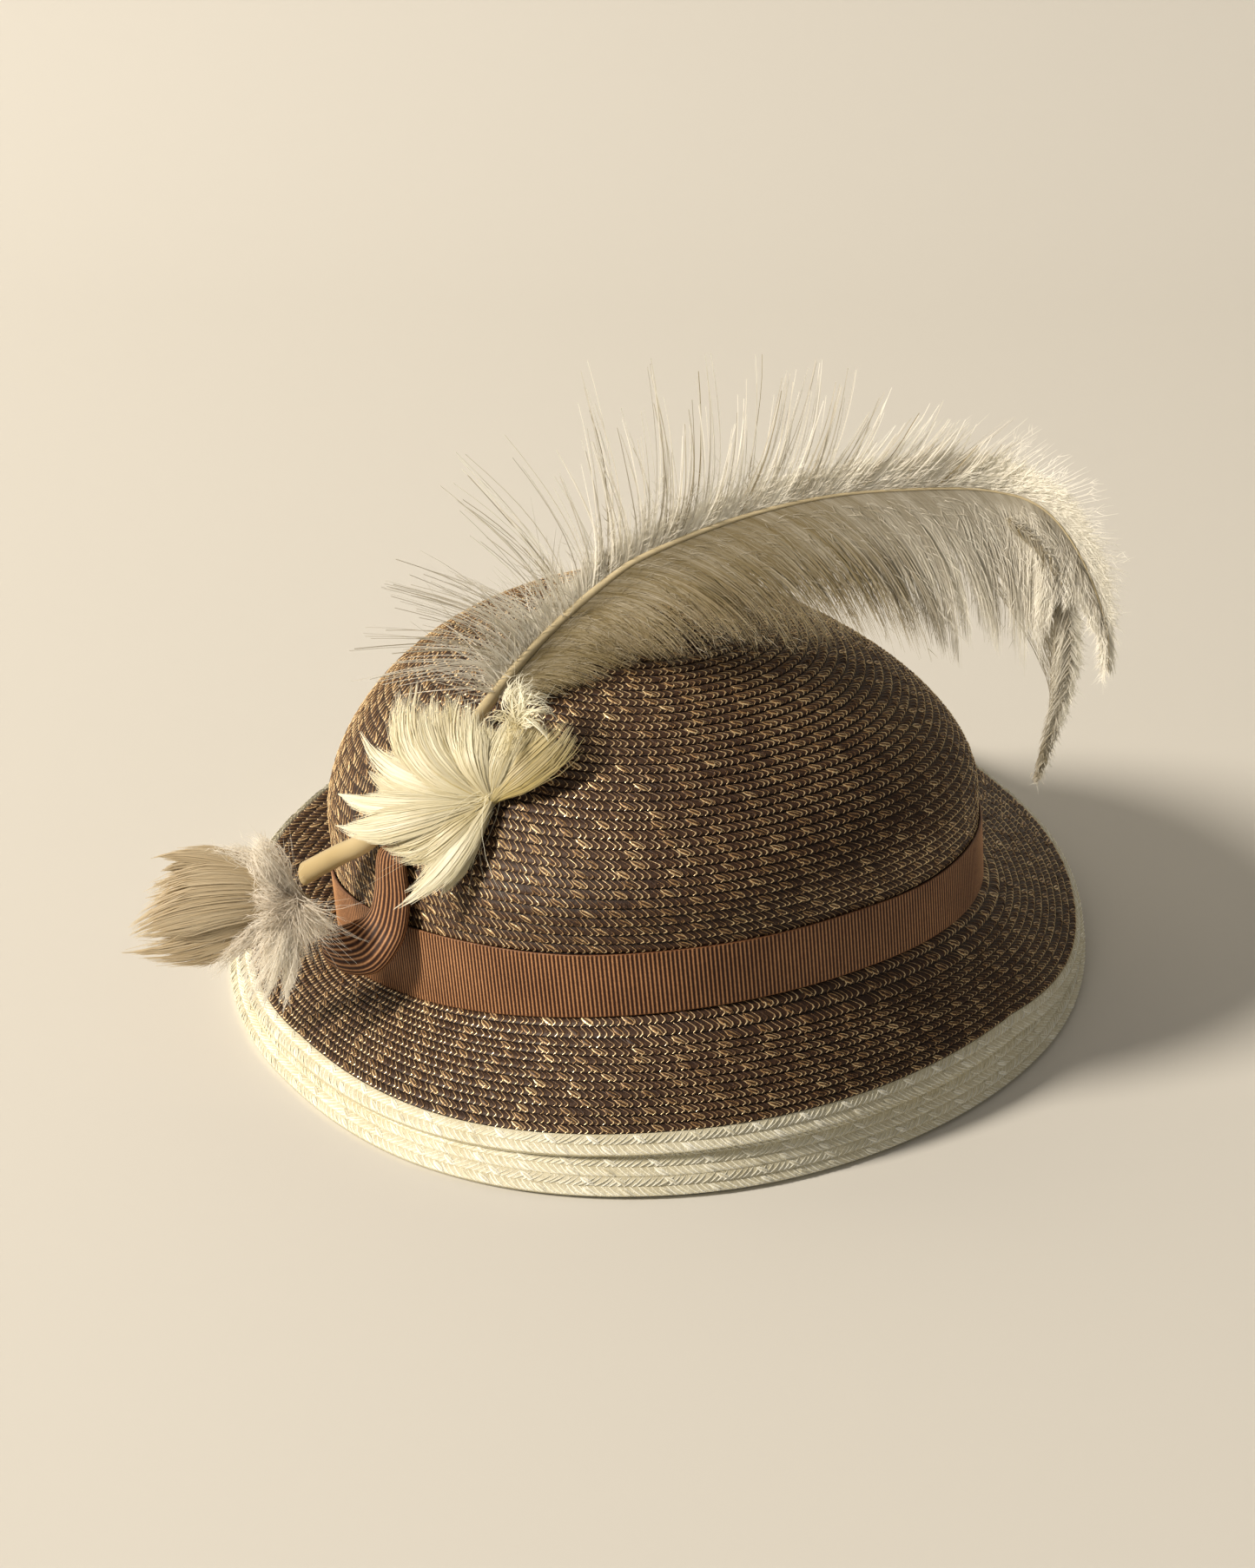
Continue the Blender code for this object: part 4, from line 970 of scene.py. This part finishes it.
# With an eleventh value: the number of locks
tuftFeathers = [
    (-2.2, 3.5, -3.2, 8.0, 0.9, 11.6, 1.4, 2.5, 0.9, 1.0, 16),
    (-0.8, 4.0, -0.6, 8.2, 3.6, 11.0, 1.5, 3.5, 0.9, 1.0, 16),
    (0.8, 4.0, 2.4, 7.4, 6.4, 9.0, 1.5, 4.0, 0.9, 1.05, 16),
    (2.4, 3.4, 5.0, 5.8, 8.8, 6.2, 1.5, 4.0, 0.9, 1.05, 16),
    (3.4, 1.6, 7.4, 2.6, 9.6, 0.4, 1.5, 3.5, 0.9, 1.0, 16),
    (3.2, -0.2, 6.6, -0.6, 7.0, -4.6, 1.5, 2.5, 0.9, 0.95, 16),
    (-2.6, 1.4, -6.6, 1.8, -9.6, -1.6, 0.9, 1.0, 0.2, 0.70, 8),
    (-1.0, -3.0, -3.0, -8.0, -6.0, -14.0, 1.6, 2.0, 0.1, 0.50, 6),
]
tuftFan = {"seat": (-0.400, -0.640, 0.905), "normal": (-0.20, -0.60, 0.77), "strands": 15,
           "width": 0.00030, "broad": 1.0, "layer": 0.0, "frizz": 0.10}

# Metres for one mm of the guide points, which were measured in the photo
guideUnit = 0.00106


def fanAxes(normal):
    # Directions whose points look right from the photo's side, yet lie in the cluster's own plane
    normal = unit(np.array(normal))
    tilt = math.radians(view["elevation"])
    toEye = np.array([0.0, -math.cos(tilt), math.sin(tilt)])
    rightAndUp = np.array([1.0, 0.0, 0.0]), np.array([0.0, math.sin(tilt), math.cos(tilt)])
    return normal, *(way - toEye * (normal @ way) / (normal @ toEye) for way in rightAndUp)


def featherStrands(seat, axes, row, fan, rng):
    # The middle line is a cubic Bezier curve from the foot. Strands keep their share of the width along it,
    # gather in locks towards the tip, and end sooner the further out they are
    normal, right, up = axes
    guides = np.array(row[:6]).reshape(3, 2) * guideUnit
    half, arch, blunt, shade = row[6] * 0.001 * fan["broad"], row[7] * 0.001, row[8], row[9]
    count, frizz, stations = fan["strands"], fan["frizz"], 9
    place = rng.permutation(evenly(count, rng) * 2 - 1)
    locks = row[10] if len(row) > 10 else 7
    lockOf = (place + 1) / 2 * locks + rng.normal(0, 0.12, count)
    lockOf = np.clip(np.floor(lockOf), 0, locks - 1).astype(int)
    lockAt = (np.arange(locks) + rng.uniform(0.3, 0.7, locks)) / locks * 2 - 1
    lockEnd = rng.uniform(0.88, 1.0, locks)[lockOf]
    end = (1.05 - (0.34 - 0.26 * blunt) * place ** 2 - 0.34 * rng.random(count) ** 1.5) * lockEnd
    s = end[:, None] * np.linspace(0, 1, stations)
    middle = np.stack([3 * (1 - s) ** 2 * s, 3 * (1 - s) * s ** 2, s ** 3], -1) @ guides
    slopes = unit(np.stack([3 * (1 - s) * (1 - 3 * s), 3 * s * (2 - 3 * s), 3 * s ** 2], -1) @ guides)
    girth = [0.10, 0.30, 0.78, 1.0, 0.62 + 0.3 * blunt, 0.12 + 0.6 * blunt]
    girth = np.interp(s, [0, 0.12, 0.35, 0.65, 0.88, 1.0], girth) * half
    across = place[:, None] + (lockAt[lockOf] - place)[:, None] * 0.45 * s ** 3
    stray = np.where(rng.random(count) < 0.10, 0.45, 0.12) + frizz
    across = across + (rng.normal(0, 1, count) * stray)[:, None] * s ** 3
    flat = middle + np.stack([-slopes[..., 1], slopes[..., 0]], -1) * (across * girth)[..., None]
    rise = arch * np.sin(math.pi * np.clip(s, 0, 1) ** 0.9) - across ** 2 * girth * 0.20
    rise = rise + rng.normal(0, 0.00018, (count, 1))
    if frizz:
        wave = rng.normal(0, 0.0011, (count, 1, 2)) * np.sin(s * 7 + rng.uniform(0, 6, (count, 1)))[..., None]
        flat = flat + wave
        rise = rise + rng.normal(0, 0.0012, (count, 1)) * s
    path = seat + right * flat[..., :1] + up * flat[..., 1:] + normal * rise[..., None]
    leftward = right * -slopes[..., 1:] + up * slopes[..., :1]
    facing = unit(normal + leftward * (across * 0.40)[..., None] + rng.normal(0, 0.10, (count, 1, 3)))
    kind = np.where(rng.random((count, 1)) < 0.12, 0.55, 1.0)
    narrowing = np.interp(s / end[:, None], [0, 0.5, 0.8, 1], [0.7, 1.0, 0.75, 0.15])
    widths = fan["width"] * kind * rng.uniform(0.75, 1.2, (count, 1)) * narrowing
    lockTone = rng.normal(0, 0.04, locks)[lockOf]
    dark = np.where(rng.random(count) < 0.03, -0.25, 0.0)
    own = shade - 0.30 + lockTone + dark + rng.normal(0, 0.05, count)
    # Paler towards the tip; the slight darkening towards both edges of a feather is painted shade where
    # neighbours overlap
    tone = own[:, None] + 0.40 * s - 0.06 * np.abs(across)
    return strands(path, widths, facing, tone), path, facing[:, 4], tone


def looseDown(seat, axes, count, spread, length, width, tone, rng):
    # Thin curved hairs every way in the cluster's spread
    normal, right, up = axes
    turn = np.radians(rng.uniform(*spread, (count, 1)))
    way = right * np.cos(turn) + up * np.sin(turn) + normal * rng.normal(0.15, 0.2, (count, 1))
    t = np.linspace(0, 1, 6)[:, None]
    size = rng.uniform(0.3, 1.0, (count, 1, 1)) * length
    foot = seat + rng.normal(0, 1, (count, 1, 3)) * (right * 0.9 + up * 0.9 + normal * 0.3) * 0.0016
    path = foot + unit(way)[:, None] * (size * t + 0.002) + rng.normal(0, 0.3, (count, 1, 3)) * size * t ** 2
    widths = width * np.linspace(1, 0.2, 6) * np.ones((count, 1))
    return strands(path, widths, unit(normal + rng.normal(0, 0.4, (count, 3))), np.full((count, 6), tone))


def makeFan(name, node, fan, rows, look, seed, loose=()):
    # Every third feather lies on the same layer, so that neighbours don't share a plane
    rng, axes, seat = np.random.default_rng(seed), fanAxes(fan["normal"]), hatPoint(*fan["seat"])
    parts = [featherStrands(seat + axes[0] * fan["layer"] * (index % 3), axes, row, fan, rng)[0]
             for index, row in enumerate(rows)]
    parts += [looseDown(seat, axes, *values, rng) for values in loose]
    piece = addFeathers(name, parts, look)
    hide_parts(node)
    return rng, axes, seat


def makeSideDown(rng, axes, seat):
    # The white down over the foot of the side feathers
    foot = seat + axes[0] * 0.002 - axes[1] * 0.0030 - axes[2] * 0.0015
    parts = [looseDown(foot, axes, 300, (150, 350), 0.015, 0.00014, 0.75, rng),
             looseDown(foot + axes[0] * 0.003, axes, 420, (170, 330), 0.009, 0.00024, 0.55, rng),
             looseDown(foot, axes, 120, (100, 170), 0.014, 0.00013, 0.85, rng)]
    for row in downFeathers:
        shifted = foot + axes[1] * rng.normal(0, 0.0012)
        made, path, facing, tone = featherStrands(shifted, axes, row, downFan, rng)
        parts += [made, fluffOn(path, facing, tone, downFan["fluff"], 0.0020, rng, 0.00012)]
    addFeathers("side_down", parts, downLook)


# Count, spread of directions, length, width and tone of the loose hairs in the fan
hackleDown = (130, (60, 260), 0.030, 0.00015, 0.85)
makeFan("hackle_fan", "hackle_cluster", hackleFan, hackles, hackleLook, 8, [hackleDown])
sideFan = makeFan("side_feathers", "body_feathers", bodyFan, bodyFeathers, beigeLook, 9)
makeSideDown(*sideFan)
makeFan("white_tuft", "curled_tuft", tuftFan, tuftFeathers, hackleLook, 10)
print("feathers done")

# Floor and backdrop
stageLook = {"floor": (0.69, 0.675, 0.63), "size": 2.4, "bendStart": 0.55, "bendDepth": 0.35, "height": 2.2}


def makeStage():
    # The floor bends up into the backdrop through a quarter circle
    made = Finish("paleFloor")
    made.set(Base_Color=stageLook["floor"], Roughness=0.7, Specular_IOR_Level=0.2)
    size = stageLook["size"]
    bend = np.linspace(0, math.pi / 2, 12)
    depth = stageLook["bendStart"] + stageLook["bendDepth"] * np.append(np.sin(bend), 1.0)
    height = np.append(stageLook["bendDepth"] * (1 - np.cos(bend)), stageLook["height"])
    depth, height = np.insert(depth, 0, -size), np.insert(height, 0, 0.0)
    across = np.array([-size, size])
    points = np.stack(np.broadcast_arrays(across[None], depth[:, None], height[:, None]), -1)
    piece = addPiece("floor", points, [quads(len(depth), 2)], made.material, body=None)


def stand(name, data, place, turn):
    made = bpy.data.objects.new(name, data)
    made.location, made.rotation_euler = place, turn
    bpy.context.scene.collection.objects.link(made)
    return made


def makeCamera():
    data = bpy.data.cameras.new("camera")
    data.lens, data.sensor_width = view["lens"], 36.0
    tilt = math.radians(view["elevation"])
    away = view["distance"] * np.array([0, -math.cos(tilt), math.sin(tilt)])
    place = np.array(view["target"]) + hatPlace + away
    bpy.context.scene.camera = stand("camera", data, place, (math.pi / 2 - tilt, 0, 0))


def addLight(name, place, size, power, colour):
    # A round lamp that looks at a point 50 mm over the floor's middle
    data = bpy.data.lights.new(name, "AREA")
    data.shape, data.size, data.energy, data.color = "DISK", size, power, colour
    back = unit(np.array(place) - np.array([0, 0, 0.05]))
    stand(name, data, place, (math.acos(back[2]), 0, math.atan2(back[0], -back[1])))


def lightWorld(colour, strength):
    world = bpy.data.worlds.new("soft")
    bpy.context.scene.world = world
    world.use_nodes = True
    background = world.node_tree.nodes["Background"]
    background.inputs[0].default_value, background.inputs[1].default_value = (*colour, 1.0), strength


makeStage()
makeCamera()
bpy.context.scene.view_settings.view_transform = "Standard"
addLight("key", (-3.36, -0.88, 2.16), 0.88, 235, (1.0, 0.90, 0.77))
addLight("fill", (0.9, -1.4, 1.1), 1.6, 0.5, (1.0, 0.93, 0.86))
lightWorld((1.0, 0.93, 0.84), 0.20)
print("stage done")
